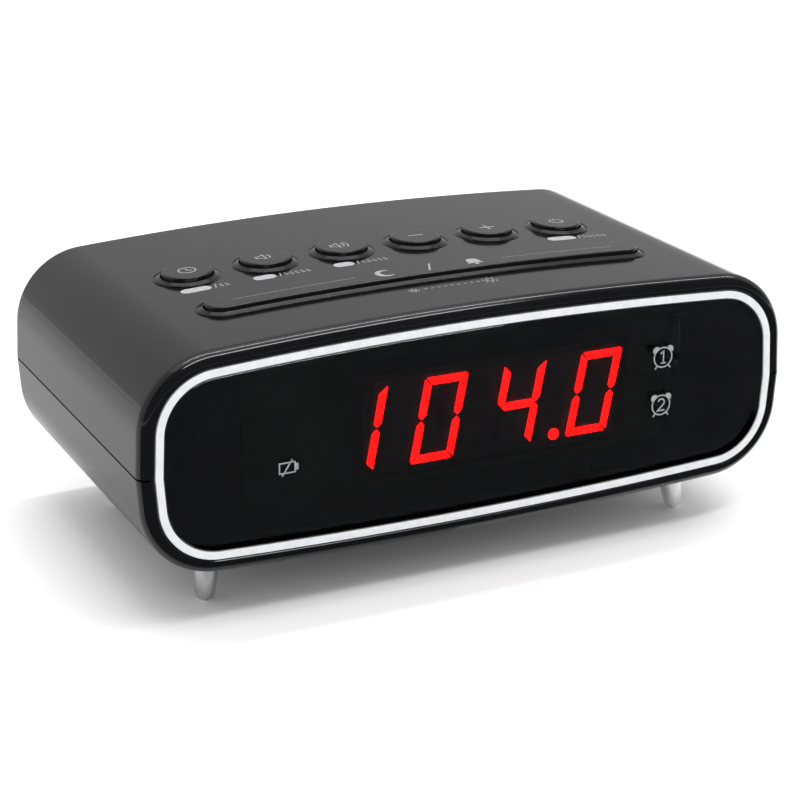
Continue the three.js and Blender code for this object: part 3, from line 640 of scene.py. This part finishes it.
def led_display():
    """The digit block, with a raised window panel round the digits."""
    lowest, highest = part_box("led_display")
    sheet = Sheet()
    add_box(sheet, lowest + Vector((0, 0.15 * MM, 0)), highest)
    piece("led_display_block", sheet, looks["display_grey"], "case", ["led_display"],
          bevel=0.4 * MM)
    window = Sheet()
    corners = [(-32.1, -9.6), (39.8, -9.6), (43.2, 15.0), (-29.8, 15.0)]
    y = lowest.y + 0.05 * MM
    window.prism([(np.array([x * MM, y, PARTING + z * MM]), FORWARD) for x, z in corners], 0.1 * MM)
    piece("led_display_window", window, looks["display_window"], "case")


def add_box(sheet, lowest, highest):
    (x0, y0, z0), (x1, y1, z1) = lowest, highest
    sheet.loft([[(x0, y0, z), (x1, y0, z), (x1, y1, z), (x0, y1, z)] for z in (z0, z1)])
    start = len(sheet.points) - 8
    sheet.faces.append((start, start + 1, start + 2, start + 3))
    sheet.faces.append((start + 4, start + 5, start + 6, start + 7))


# ---- Printed marks: thin raised strokes and fills on the lens or on a cap ----

class Marks(Sheet):
    """Strokes and fills in a mark's own flat coordinates (millimetres), laid on a surface."""

    def __init__(self, place, facing, thick=0.012 * MM):
        super().__init__()
        self.place = place
        self.facing = facing
        self.thick = thick

    def fill(self, shape):
        self.prism([(self.place(x, y), self.facing) for x, y in shape], self.thick)

    def stroke(self, path, width, closed=False):
        path = np.array(path, float)
        if closed:
            ahead = np.roll(path, -1, axis=0) - path
            behind = path - np.roll(path, 1, axis=0)
        else:
            steps = np.diff(path, axis=0)
            ahead = np.vstack([steps, steps[-1]])
            behind = np.vstack([steps[0], steps])
        ahead, behind = unit(ahead), unit(behind)
        along = unit(ahead + behind)
        across = np.column_stack([-along[:, 1], along[:, 0]])
        lengthen = 1 / np.maximum(np.sum(along * ahead, axis=1), 0.4)
        half = across * (lengthen * width / 2)[:, None]
        sides = [path + half, path - half]
        rows = []
        for h in (self.thick, -self.thick):
            rows.append([self.add([self.place(x, y) + self.facing * h for x, y in side]) for side in sides])
        (top_a, top_b), (low_a, low_b) = rows
        for first, second in ((top_a, top_b), (low_b, low_a), (low_a, top_a), (top_b, low_b)):
            self.strip(first, second, closed)
        if not closed:
            for k in (0, -1):
                self.faces.append((top_a[k], top_b[k], low_b[k], low_a[k]))

    def circle(self, x, y, radius, width):
        self.stroke(arc(x, y, radius, 0, 360, 32)[:-1], width, closed=True)

    def disc(self, x, y, radius):
        self.fill(arc(x, y, radius, 0, 360, 24)[:-1])

    def pill(self, x, y, half, radius):
        right = arc(x + half - radius, y, radius, -90, 90, 10)
        left = arc(x - half + radius, y, radius, 90, 270, 10)
        self.fill(right + left)


def arc(x, y, radius, start, end, steps):
    angles = np.radians(np.linspace(start, end, steps + 1))
    return [(x + radius * math.cos(a), y + radius * math.sin(a)) for a in angles]


def on_lens(x, z):
    def place(u, v):
        return np.array([(x + u) * MM, LENS_FRONT - 0.012 * MM, PARTING + (z + v) * MM])
    return Marks(place, FORWARD)


def on_top(x, y, proud):
    """Marks on the crowned top, at a place in metres, a little above the skin."""
    def place(u, v):
        across = x + u * MM
        return np.array([across, y + v * MM, PARTING + float(UPPER.height(across)) + proud])
    return Marks(place, np.array([0.0, 0.0, 1.0]))


def alarm_mark(number, z):
    """A small alarm clock with a number in it."""
    mark = on_lens(54, z)
    mark.circle(0, -0.3, 2.75, 0.36)
    for side in (-1, 1):
        tilt = 45 if side > 0 else 135
        mark.fill(arc(side * 2.05, 1.75, 1.1, tilt - 90, tilt + 90, 12))
        mark.stroke([(side * 1.7, -2.6), (side * 2.4, -3.4)], 0.4)
    if number == 1:
        mark.stroke([(-0.75, 0.75), (0.15, 1.4), (0.15, -1.9)], 0.38)
        mark.stroke([(-0.65, -1.9), (0.95, -1.9)], 0.38)
    else:
        curve = arc(0.05, 0.45, 0.95, 165, -30, 10)
        mark.stroke([*curve, (-1.0, -1.85), (1.15, -1.85)], 0.38)
    piece(f"mark_alarm_{number}", mark, looks["print_grey"], "case")


def battery_mark():
    mark = on_lens(-54.4, -2.7)
    mark.stroke([(-2.3, -1.35), (1.9, -1.35), (1.9, 1.35), (-2.3, 1.35)], 0.34, closed=True)
    mark.stroke([(2.25, -0.7), (2.65, -0.7), (2.65, 0.7), (2.25, 0.7)], 0.34, closed=True)
    mark.stroke([(-1.6, -2.1), (1.2, 2.1)], 0.36)
    piece("mark_battery", mark, looks["print_grey"], "case")


def cap_mark(index):
    """The symbol on one round cap."""
    mark = on_top(BUTTON_X[index], BUTTON_ROW, CAP_PROUD + 0.012 * MM)
    name = BUTTONS[index]
    if name == "set":
        mark.circle(0, 0, 2.3, 0.42)
        mark.stroke([(0, 1.5), (0, 0), (1.15, -0.65)], 0.42)
    if name.startswith("volume"):
        left = -2.1 if name == "volume_up" else -1.5
        body = [(left - 1.2, -0.75), (left - 0.2, -0.75), (left + 1.2, -1.9)]
        body += [(left + 1.2, 1.9), (left - 0.2, 0.75), (left - 1.2, 0.75)]
        mark.stroke(body, 0.34, closed=True)
        for k in range(2 if name == "volume_up" else 1):
            mark.stroke(arc(left + 0.6, 0, 2.1 + 1.15 * k, -42, 42, 10), 0.36)
    if name in ("minus", "plus"):
        mark.stroke([(-2.3, 0), (2.3, 0)], 0.5)
    if name == "plus":
        mark.stroke([(0, 0.27), (0, 2.2)], 0.5)
        mark.stroke([(0, -0.27), (0, -2.2)], 0.5)
    if name == "power":
        mark.stroke(arc(0, -0.1, 1.9, 125, 415, 24), 0.42)
        mark.stroke([(0, 0.5), (0, 2.4)], 0.42)
    piece(f"mark_{name}", mark, looks["print_grey"], "button_" + name)


def pill_marks():
    """Light pills with small ticks in front of four of the caps."""
    mark = on_top(0, 0, 0.012 * MM)
    row = (BUTTON_ROW - BUTTON_RADIUS) / MM - 4.6
    pills = ((0, -6, 8.4, 2), (1, -8.1, 6.4, 5), (2, -7.4, 5.9, 5), (5, -9, 8.8, 5))
    for index, left, length, ticks in pills:
        start = BUTTON_X[index] / MM + left
        mark.pill(start + length / 2, row, length / 2, 1.75)
        start += length
        mark.stroke([(start + 0.9, row - 1.3), (start + 1.6, row + 1.3)], 0.26)
        for k in range(ticks):
            mark.stroke([(start + 2.4 + 1.6 * k, row - 0.6), (start + 3.4 + 1.6 * k, row - 0.6)], 0.34)
            mark.stroke([(start + 2.4 + 1.6 * k, row + 0.6), (start + 3.2 + 1.6 * k, row + 0.6)], 0.34)
    piece("mark_pills", mark, looks["print_light"], "case")


def bar_marks():
    """Thin lines either side of a moon and a bell on the long bar."""
    mark = on_top(BAR_X, BAR_ROW, CAP_PROUD + 0.012 * MM)
    for side in (-1, 1):
        for k in range(40):
            x = side * (22 + 0.85 * k)
            mark.stroke([(x - 0.22, 0), (x + 0.22, 0)], 0.28)
    moon = arc(-12.6, 0, 2.3, 50, 310, 24)
    mark.stroke(moon, 0.2 + 1.3 * np.sin(np.linspace(0, math.pi, len(moon))))
    mark.stroke([(-1.2, -2.7), (1.2, 2.7)], 0.5)
    bell = arc(13, 0.5, 1.8, 180, 0, 14) + [(14.9, -1.1), (15.5, -1.7), (10.5, -1.7), (11.1, -1.1)]
    mark.fill(bell)
    mark.disc(13, -2.4, 0.55)
    piece("mark_bar", mark, looks["print_grey"], "snooze_bar")


def dimmer_mark():
    """A small and a large sun with a line of dots between them, for the display's brightness."""
    mark = on_top(0, FRONT + 18 * MM, 0.012 * MM)
    for x, size in ((-11, 0.75), (11, 1.15)):
        mark.circle(x, 0, 0.9 * size, 0.3)
        for k in range(8):
            a = math.radians(45 * k)
            reach = [(x + r * size * math.cos(a), r * size * math.sin(a)) for r in (1.45, 2.1)]
            mark.stroke(reach, 0.28)
    for k in range(-4, 5):
        mark.stroke([(1.9 * k - 0.45, 0), (1.9 * k + 0.45, 0)], 0.35)
    piece("mark_dimmer", mark, looks["print_grey"], "case")


# ---- Caps ----

def cap_outline(centre, straight, count=32):
    """Core points and outward directions round a circle or a long round-ended shape."""
    out = []
    for side in (1, -1):
        for angle in np.linspace(-90, 90, count + 1):
            a = math.radians(angle) + (0 if side > 0 else math.pi)
            out.append((centre[0] + side * straight, centre[1], math.cos(a), math.sin(a)))
        if straight > 0:
            steps = int(straight * 2 / (2.4 * MM))
            for k in range(1, steps):
                x = centre[0] + side * (straight - 2 * straight * k / steps)
                out.append((x, centre[1], 0, side))
    return np.array(out)


def cap(centre, straight, radius, stem_low):
    """A press cap: crowned top, rounded edge, side, and the flange that holds it in the case."""
    outline = cap_outline(centre, straight)
    edge = 0.5 * MM
    profile = [(0, CAP_PROUD), (radius * 0.5, CAP_PROUD), (radius - edge * 1.2, CAP_PROUD)]
    for angle in quarter(0, math.pi / 2, 8):
        profile.append((radius - edge * (1 - math.sin(angle)), CAP_PROUD - edge * (1 - math.cos(angle))))
    deep, thick = -4.9 * MM, 1.4 * MM
    profile += [(radius, deep), (radius + FLANGE_OUT, deep), (radius + FLANGE_OUT, deep - thick)]
    profile += [(2.4 * MM, deep - thick)]
    sheet = Sheet()
    rings = []
    for out, height in profile:
        at = outline[:, :2] + out * outline[:, 2:]
        rings.append(np.column_stack([at, PARTING + UPPER.height(at[:, 0]) + height]))
    last = rings[-1].copy()
    last[:, 2] = np.minimum(last[:, 2], stem_low)
    rings.append(last)
    _, bottom = sheet.loft(rings)
    sheet.flat(bottom)
    return sheet


def caps():
    for name, x in zip(BUTTONS, BUTTON_X):
        sheet = cap((x, BUTTON_ROW), 0, BUTTON_RADIUS, low("button_" + name).z)
        piece(f"cap_{name}", sheet, looks["cap_black"], "button_" + name, ["button_" + name])
    sheet = cap((BAR_X, BAR_ROW), BAR_STRAIGHT, BAR_RADIUS, PARTING + UPPER.height(0) - 7 * MM)
    piece("cap_snooze", sheet, looks["cap_black"], "snooze_bar", ["snooze_bar"])


# ---- Feet, jack, gland and door ----

def foot(corner):
    """A tapered foot with a round nose that leans outward, up to the underside."""
    node = "foot_" + corner
    lowest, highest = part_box(node)
    centre = (lowest + highest) / 2
    side_x, side_y = math.copysign(1, centre.x), math.copysign(1, centre.y)
    base_x, base_y = side_x * 70 * MM, side_y * (BACK - 18.6 * MM)
    lean, splay = 0.9 * MM, math.tan(math.radians(5))
    nose, top_radius, top = 2.5 * MM, 4 * MM, 18 * MM
    profile = [(0.35 * MM, 0), (0.9 * MM, 0.02 * MM)]
    for angle in quarter(20, 80, 8):
        a = math.radians(angle)
        profile.append((nose * math.sin(a), nose * 0.92 * (1 - math.cos(a))))
    start = profile[9][1]
    for t in np.linspace(0, 1, 6)[1:]:
        height = start + (top - start) * t
        profile.append((nose + (top_radius - nose) * height / top, height))
    sheet = Sheet()
    rings = []
    angles = np.linspace(0, 2 * math.pi, 48, endpoint=False)
    for radius, height in profile:
        x = base_x + side_x * (lean - splay * height) + radius * np.cos(angles)
        y = base_y + side_y * (lean - splay * height) + radius * np.sin(angles)
        under = PARTING - LOWER.height(x)
        rings.append(np.column_stack([x, y, np.minimum(height, under + 0.1 * MM)]))
    first, last = sheet.loft(rings)
    sheet.flat(first)
    sheet.faces.append(tuple(last))
    piece(node + "_satin", sheet, looks["satin_metal"], "case", [node], crease=50)


def turned_back(name, centre, profile, look, body, replaced):
    """A round piece in the back wall, from radii and depths behind the wall."""
    sheet = Sheet()
    rings = [ring_at(centre, radius, BACK - depth) for radius, depth in profile]
    rings.append(rings[0])
    sheet.loft(rings)
    return piece(name, sheet, looks[look], body, replaced)


def antenna_gland():
    place = middle("antenna_gland")
    profile = [(1.1, 5.1), (1.1, 0.25), (1.35, 0.02), (4.2, 0.02), (4.6, 0.15), (4.7, 0.45), (4.7, 0.8),
               (2.9, 0.8), (2.9, 5.1)]
    profile = [(r * MM, d * MM) for r, d in profile]
    turned_back("antenna_gland_sleeve", (place.x, place.z), profile, "soft_black", "case",
                ["antenna_gland"])


def battery_door():
    """The door plate, in the underside's curve, with a pad of ridges for a thumb and a latch."""
    sheet = Sheet()
    x0, x1, y0, y1 = DOOR_LOW.x, DOOR_HIGH.x, DOOR_LOW.y, DOOR_HIGH.y
    ridges = [y1 - (6 + 1.6 * k) * MM for k in range(5)]
    columns = divided([x0, x0 + 0.3 * MM, -51 * MM, -37 * MM, x1 - 0.3 * MM, x1], 2.4 * MM)
    rows = sorted({y for r in ridges for y in (r - 0.4 * MM, r - 0.15 * MM, r + 0.15 * MM, r + 0.4 * MM)})
    rows = divided([y0, y0 + 0.3 * MM, *rows, y1 - 0.3 * MM, y1], 2.4 * MM)

    def depth(x, y):
        if min(x - x0, x1 - x, y - y0, y1 - y) < 0.1 * MM:
            return 0.15 * MM
        if -51.1 * MM < x < -36.9 * MM and any(abs(y - r) < 0.2 * MM for r in ridges):
            return 0.45 * MM
        return 0

    for face in (0, 1):
        grid = []
        for y in rows:
            depths = [1.8 * MM if face else depth(x, y) for x in columns]
            under = [PARTING - float(LOWER.height(x)) + d for x, d in zip(columns, depths)]
            grid.append(sheet.add([(x, y, z) for x, z in zip(columns, under)]))
        for before, after in zip(grid, grid[1:]):
            sheet.strip(before, after, closed=False)
        if face == 0:
            outer = grid
    border = lambda g: g[0] + [r[-1] for r in g[1:]] + g[-1][-2::-1] + [r[0] for r in g[-2:0:-1]]
    sheet.strip(border(outer), border(grid))
    latch_low = Vector((-49 * MM, y1 - 5.6 * MM, PARTING - DROP + 1.5 * MM))
    latch_high = Vector((-39 * MM, y1 - 4.4 * MM, DOOR_HIGH.z))
    add_box(sheet, latch_low, latch_high)
    piece("battery_door_plate", sheet, looks["gloss_black"], "battery_door", ["battery_door"])


# ---- Materials ----

def new_look(name):
    material = bpy.data.materials.new(name)
    material.use_nodes = True
    nodes = material.node_tree.nodes
    return material, nodes, material.node_tree.links, nodes["Principled BSDF"]


def noise(nodes, links, scale, detail=4.0):
    """Noise over the object's own space, so it stays with a piece as it moves."""
    place = nodes.new("ShaderNodeTexCoord")
    texture = nodes.new("ShaderNodeTexNoise")
    texture.inputs["Scale"].default_value = scale
    texture.inputs["Detail"].default_value = detail
    links.new(place.outputs["Object"], texture.inputs["Vector"])
    return texture.outputs["Fac"]


def ramp(nodes, links, source, start, end, begin=0.3, stop=0.7):
    """Source turned into a colour between two colours."""
    mapped = nodes.new("ShaderNodeValToRGB")
    mapped.color_ramp.elements[0].position = begin
    mapped.color_ramp.elements[1].position = stop
    mapped.color_ramp.elements[0].color = (*start, 1)
    mapped.color_ramp.elements[1].color = (*end, 1)
    links.new(source, mapped.inputs["Fac"])
    return mapped.outputs["Color"]


def between(nodes, links, source, start, end):
    mapped = nodes.new("ShaderNodeMapRange")
    mapped.inputs["To Min"].default_value = start
    mapped.inputs["To Max"].default_value = end
    links.new(source, mapped.inputs["Value"])
    return mapped.outputs["Result"]


def bump(nodes, links, source, shader, strength, distance):
    relief = nodes.new("ShaderNodeBump")
    relief.inputs["Strength"].default_value = strength
    relief.inputs["Distance"].default_value = distance
    links.new(source, relief.inputs["Height"])
    links.new(relief.outputs["Normal"], shader.inputs["Normal"])


def plastic(name, dark, light, rough, grain=60, relief=0.0, level=0.5):
    """Moulded plastic: slightly uneven colour and gloss, with a faint waviness."""
    material, nodes, links, shader = new_look(name)
    links.new(ramp(nodes, links, noise(nodes, links, grain), dark, light), shader.inputs["Base Color"])
    uneven = noise(nodes, links, grain * 6, 6.0)
    links.new(between(nodes, links, uneven, rough * 0.85, rough * 1.15), shader.inputs["Roughness"])
    shader.inputs["Specular IOR Level"].default_value = level
    shader.inputs["IOR"].default_value = 1.5
    if relief:
        bump(nodes, links, noise(nodes, links, grain * 10, 3.0), shader, 0.3, relief)
    return material


def metal(name, dark, light, rough, stretch=(1, 1, 1), scale=400, relief=0.000004, metallic=1.0):
    """Metal with fine brushed or cast unevenness."""
    material, nodes, links, shader = new_look(name)
    place = nodes.new("ShaderNodeTexCoord")
    scaled = nodes.new("ShaderNodeMapping")
    scaled.inputs["Scale"].default_value = stretch
    texture = nodes.new("ShaderNodeTexNoise")
    texture.inputs["Scale"].default_value = scale
    texture.inputs["Detail"].default_value = 6
    links.new(place.outputs["Object"], scaled.inputs["Vector"])
    links.new(scaled.outputs["Vector"], texture.inputs["Vector"])
    grain = texture.outputs["Fac"]
    links.new(ramp(nodes, links, grain, dark, light), shader.inputs["Base Color"])
    links.new(between(nodes, links, grain, rough * 0.8, rough * 1.25), shader.inputs["Roughness"])
    shader.inputs["Metallic"].default_value = metallic
    bump(nodes, links, grain, shader, 0.2, relief)
    return material


def smoked_lens():
    """Clear plastic with a dark smoke tint that lets the lit digits through."""
    material, nodes, links, shader = new_look("smoked_lens")
    tint = ramp(nodes, links, noise(nodes, links, 30), (0.115, 0.12, 0.13), (0.13, 0.135, 0.145))
    links.new(tint, shader.inputs["Base Color"])
    rough = between(nodes, links, noise(nodes, links, 200), 0.006, 0.02)
    links.new(rough, shader.inputs["Roughness"])
    shader.inputs["Transmission Weight"].default_value = 1
    shader.inputs["IOR"].default_value = 1.49
    return material


def glow(name, colour, strength):
    """A lit segment, a little uneven as a light pipe is."""
    material, nodes, links, shader = new_look(name)
    uneven = noise(nodes, links, 350, 2.0)
    tint = ramp(nodes, links, uneven, tuple(0.75 * c for c in colour), colour)
    links.new(tint, shader.inputs["Emission Color"])
    shader.inputs["Emission Strength"].default_value = strength
    shader.inputs["Base Color"].default_value = (0.05, 0.004, 0.003, 1)
    shader.inputs["Roughness"].default_value = 0.4
    return material


def ink(name, dark, light, rough=0.5):
    """Screen-printed ink, slightly thin in places."""
    material, nodes, links, shader = new_look(name)
    links.new(ramp(nodes, links, noise(nodes, links, 900, 2.0), dark, light), shader.inputs["Base Color"])
    shader.inputs["Roughness"].default_value = rough
    return material


def board(name):
    """Green solder mask with faint tracks under it."""
    material, nodes, links, shader = new_look(name)
    place = nodes.new("ShaderNodeTexCoord")
    tracks = nodes.new("ShaderNodeTexBrick")
    tracks.inputs["Scale"].default_value = 300
    tracks.inputs["Mortar Size"].default_value = 0.06
    tracks.inputs["Color1"].default_value = (0.010, 0.095, 0.030, 1)
    tracks.inputs["Color2"].default_value = (0.012, 0.115, 0.036, 1)
    tracks.inputs["Mortar"].default_value = (0.022, 0.170, 0.055, 1)
    links.new(place.outputs["Object"], tracks.inputs["Vector"])
    links.new(tracks.outputs["Color"], shader.inputs["Base Color"])
    shader.inputs["Roughness"].default_value = 0.4
    bump(nodes, links, tracks.outputs["Fac"], shader, 0.2, 0.00002)
    return material


def paper(name):
    """Fibrous pressed paper."""
    material, nodes, links, shader = new_look(name)
    fibres = noise(nodes, links, 1200, 8.0)
    tint = ramp(nodes, links, fibres, (0.006, 0.006, 0.005), (0.022, 0.020, 0.018))
    links.new(tint, shader.inputs["Base Color"])
    shader.inputs["Roughness"].default_value = 0.9
    bump(nodes, links, fibres, shader, 0.6, 0.0001)
    return material


def ribbed(name):
    """Grey ribbon cable with its wires showing as ribs."""
    material, nodes, links, shader = new_look(name)
    place = nodes.new("ShaderNodeTexCoord")
    wave = nodes.new("ShaderNodeTexWave")
    wave.inputs["Scale"].default_value = 125
    links.new(place.outputs["Object"], wave.inputs["Vector"])
    colours = ramp(nodes, links, wave.outputs["Fac"], (0.20, 0.20, 0.20), (0.36, 0.36, 0.35), 0.1, 0.6)
    links.new(colours, shader.inputs["Base Color"])
    shader.inputs["Roughness"].default_value = 0.55
    bump(nodes, links, wave.outputs["Fac"], shader, 0.8, 0.0002)
    return material


looks = {
    "gloss_black": plastic("gloss_black", (0.0045, 0.0045, 0.005), (0.0065, 0.0065, 0.0075),
                           0.11, 25, 0.000003),
    "cap_black": plastic("cap_black", (0.0055, 0.0055, 0.006), (0.0085, 0.0085, 0.009), 0.14, 40, 0.000003),
    "bright_trim": metal("bright_trim", (0.72, 0.73, 0.75), (0.80, 0.81, 0.83), 0.35,
                         scale=600, metallic=0.15),
    "smoked_lens": smoked_lens(),
    "satin_metal": metal("satin_metal", (0.84, 0.84, 0.85), (0.94, 0.94, 0.95), 0.33, (1, 1, 0.2), 900),
    "circuit_board": board("circuit_board"),
    "tin": metal("tin", (0.55, 0.55, 0.56), (0.68, 0.68, 0.69), 0.3, scale=250),
    "chip_black": plastic("chip_black", (0.006, 0.006, 0.006), (0.012, 0.012, 0.012), 0.5, 200, 0.00001),
    "switch_white": plastic("switch_white", (0.55, 0.53, 0.48), (0.64, 0.62, 0.57), 0.45, 150),
    "display_grey": plastic("display_grey", (0.006, 0.006, 0.007), (0.009, 0.009, 0.010), 0.5, 150),
    "display_window": plastic("display_window", (0.045, 0.045, 0.052), (0.060, 0.060, 0.068), 0.5, 150),
    "capacitor_sleeve": plastic("capacitor_sleeve", (0.010, 0.018, 0.060), (0.014, 0.024, 0.075), 0.35, 90),
    "magnet_grey": plastic("magnet_grey", (0.035, 0.036, 0.038), (0.060, 0.061, 0.064), 0.65, 300, 0.00003),
    "paper_cone": paper("paper_cone"),
    "soft_black": plastic("soft_black", (0.006, 0.006, 0.006), (0.011, 0.011, 0.011),
                          0.75, 300, 0.00002, 0.35),
    "ribbon_grey": ribbed("ribbon_grey"),
    "segment_lit": glow("segment_lit", (1.0, 0.0012, 0.0008), 62),
    "segment_unlit": plastic("segment_unlit", (0.030, 0.024, 0.025), (0.040, 0.032, 0.033), 0.5, 300),
    "print_grey": ink("print_grey", (0.26, 0.26, 0.27), (0.34, 0.34, 0.35)),
    "print_light": ink("print_light", (0.33, 0.33, 0.34), (0.42, 0.42, 0.43)),
}


def refinish():
    """Gives every CAD node that stays in sight its slot's procedural look."""
    for row in frame["record"]["materials"]:
        for node in row.get("nodes", []):
            held = frame["nodes"][node].data.materials
            held.clear()
            held.append(looks[row["slot"]])


# ---- Studio ----

def camera():
    azimuth, elevation = math.radians(-25.777), math.radians(20.082)
    back = Vector((math.sin(azimuth) * math.cos(elevation), -math.cos(azimuth) * math.cos(elevation),
                   math.sin(elevation)))
    right = Vector((math.cos(azimuth), math.sin(azimuth), 0))
    lens = bpy.data.cameras.new("camera")
    lens.sensor_width = 36
    lens.lens = 95.87
    lens.clip_start = 0.01
    lens.clip_end = 100
    made = bpy.data.objects.new("camera", lens)
    place = Matrix((right, back.cross(right), back)).transposed().to_4x4()
    place.translation = Vector((-0.24205, -0.50465, 0.23654))
    made.matrix_world = place
    bpy.context.scene.collection.objects.link(made)
    bpy.context.scene.camera = made


def staged_plane(name, x, y, z, material, seen=True):
    """A level card. One that isn't seen shows only in reflections."""
    corners = [(x[0], y[0], z), (x[1], y[0], z), (x[1], y[1], z), (x[0], y[1], z)]
    mesh = bpy.data.meshes.new(name)
    mesh.from_pydata(corners, [], [(0, 1, 2, 3)])
    made = bpy.data.objects.new(name, mesh)
    made.data.materials.append(material)
    bpy.context.scene.collection.objects.link(made)
    if not seen:
        made.visible_camera = False
        made.visible_diffuse = False
        made.visible_shadow = False
        made.visible_transmission = False


def floor_and_cards():
    """The pale floor, with a black card in front and a grey one at the left that only gloss reflects."""
    paint = plastic("floor_paper", (0.90, 0.90, 0.90), (0.92, 0.92, 0.92), 0.9, 5)
    staged_plane("floor", (-12, 12), (-12, 12), 0, paint)
    flag = plastic("black_flag", (0.004, 0.004, 0.004), (0.005, 0.005, 0.005), 0.95, 5, level=0.1)
    near, lift = FRONT - 6 * MM, 0.0005
    staged_plane("flag_low", (-1.2, 1.2), (near, -2), lift, flag, seen=False)
    grey = plastic("grey_card", (0.53, 0.53, 0.53), (0.56, 0.56, 0.56), 0.9, 5, level=0.1)
    staged_plane("card_left", (-2, 0), (near, 2), lift, grey, seen=False)


def area_light(name, place, target, size, power):
    light = bpy.data.lights.new(name, "AREA")
    light.shape = "RECTANGLE"
    light.size, light.size_y = size
    light.energy = power
    made = bpy.data.objects.new(name, light)
    made.location = place
    aim = Vector(target) - Vector(place)
    made.rotation_euler = aim.to_track_quat("-Z", "Y").to_euler()
    bpy.context.scene.collection.objects.link(made)


def world():
    """White surroundings for the floor and backdrop. Gloss sees a mid-grey sky that darkens to the front."""
    made = bpy.data.worlds.new("studio")
    bpy.context.scene.world = made
    made.use_nodes = True
    nodes, links = made.node_tree.nodes, made.node_tree.links
    background = nodes["Background"]
    place = nodes.new("ShaderNodeTexCoord")
    split = nodes.new("ShaderNodeSeparateXYZ")
    links.new(place.outputs["Generated"], split.inputs["Vector"])
    ahead = nodes.new("ShaderNodeMapRange")
    ahead.interpolation_type = "SMOOTHSTEP"
    ahead.inputs["From Min"].default_value = -0.30
    ahead.inputs["From Max"].default_value = 0.05
    ahead.inputs["To Min"].default_value = 0.03
    ahead.inputs["To Max"].default_value = 0.52
    links.new(split.outputs["Y"], ahead.inputs["Value"])
    path = nodes.new("ShaderNodeLightPath")
    pick = nodes.new("ShaderNodeMix")
    pick.data_type = "FLOAT"
    links.new(path.outputs["Is Glossy Ray"], pick.inputs["Factor"])
    pick.inputs["A"].default_value = 1.0
    links.new(ahead.outputs["Result"], pick.inputs["B"])
    links.new(pick.outputs["Result"], background.inputs["Strength"])
    background.inputs["Color"].default_value = (1, 1, 1, 1)


def studio():
    camera()
    floor_and_cards()
    area_light("overhead", (0.2, -0.9, 1.8), (0, 0, 0.05), (1.6, 0.25), 14)
    area_light("soft_top", (0, 0.3, 2.2), (0, 0, 0), (2.5, 2.0), 12)
    area_light("edge_strip", (0.9, 0.25, 2.1), (0.9, 0.25, 0), (3, 0.12), 17)
    world()
    bpy.context.scene.view_settings.view_transform = "Standard"


# ---- Assembly ----

def build():
    refinish()
    top_shell()
    bottom_shell()
    seam_lip()
    trim_ring()
    display_lens()
    led_display()
    digits()
    alarm_mark(1, 10.3)
    alarm_mark(2, -3.2)
    battery_mark()
    caps()
    for index in range(len(BUTTONS)):
        cap_mark(index)
    pill_marks()
    bar_marks()
    dimmer_mark()
    for corner in CORNERS:
        foot(corner)
    antenna_gland()
    battery_door()


build()
studio()
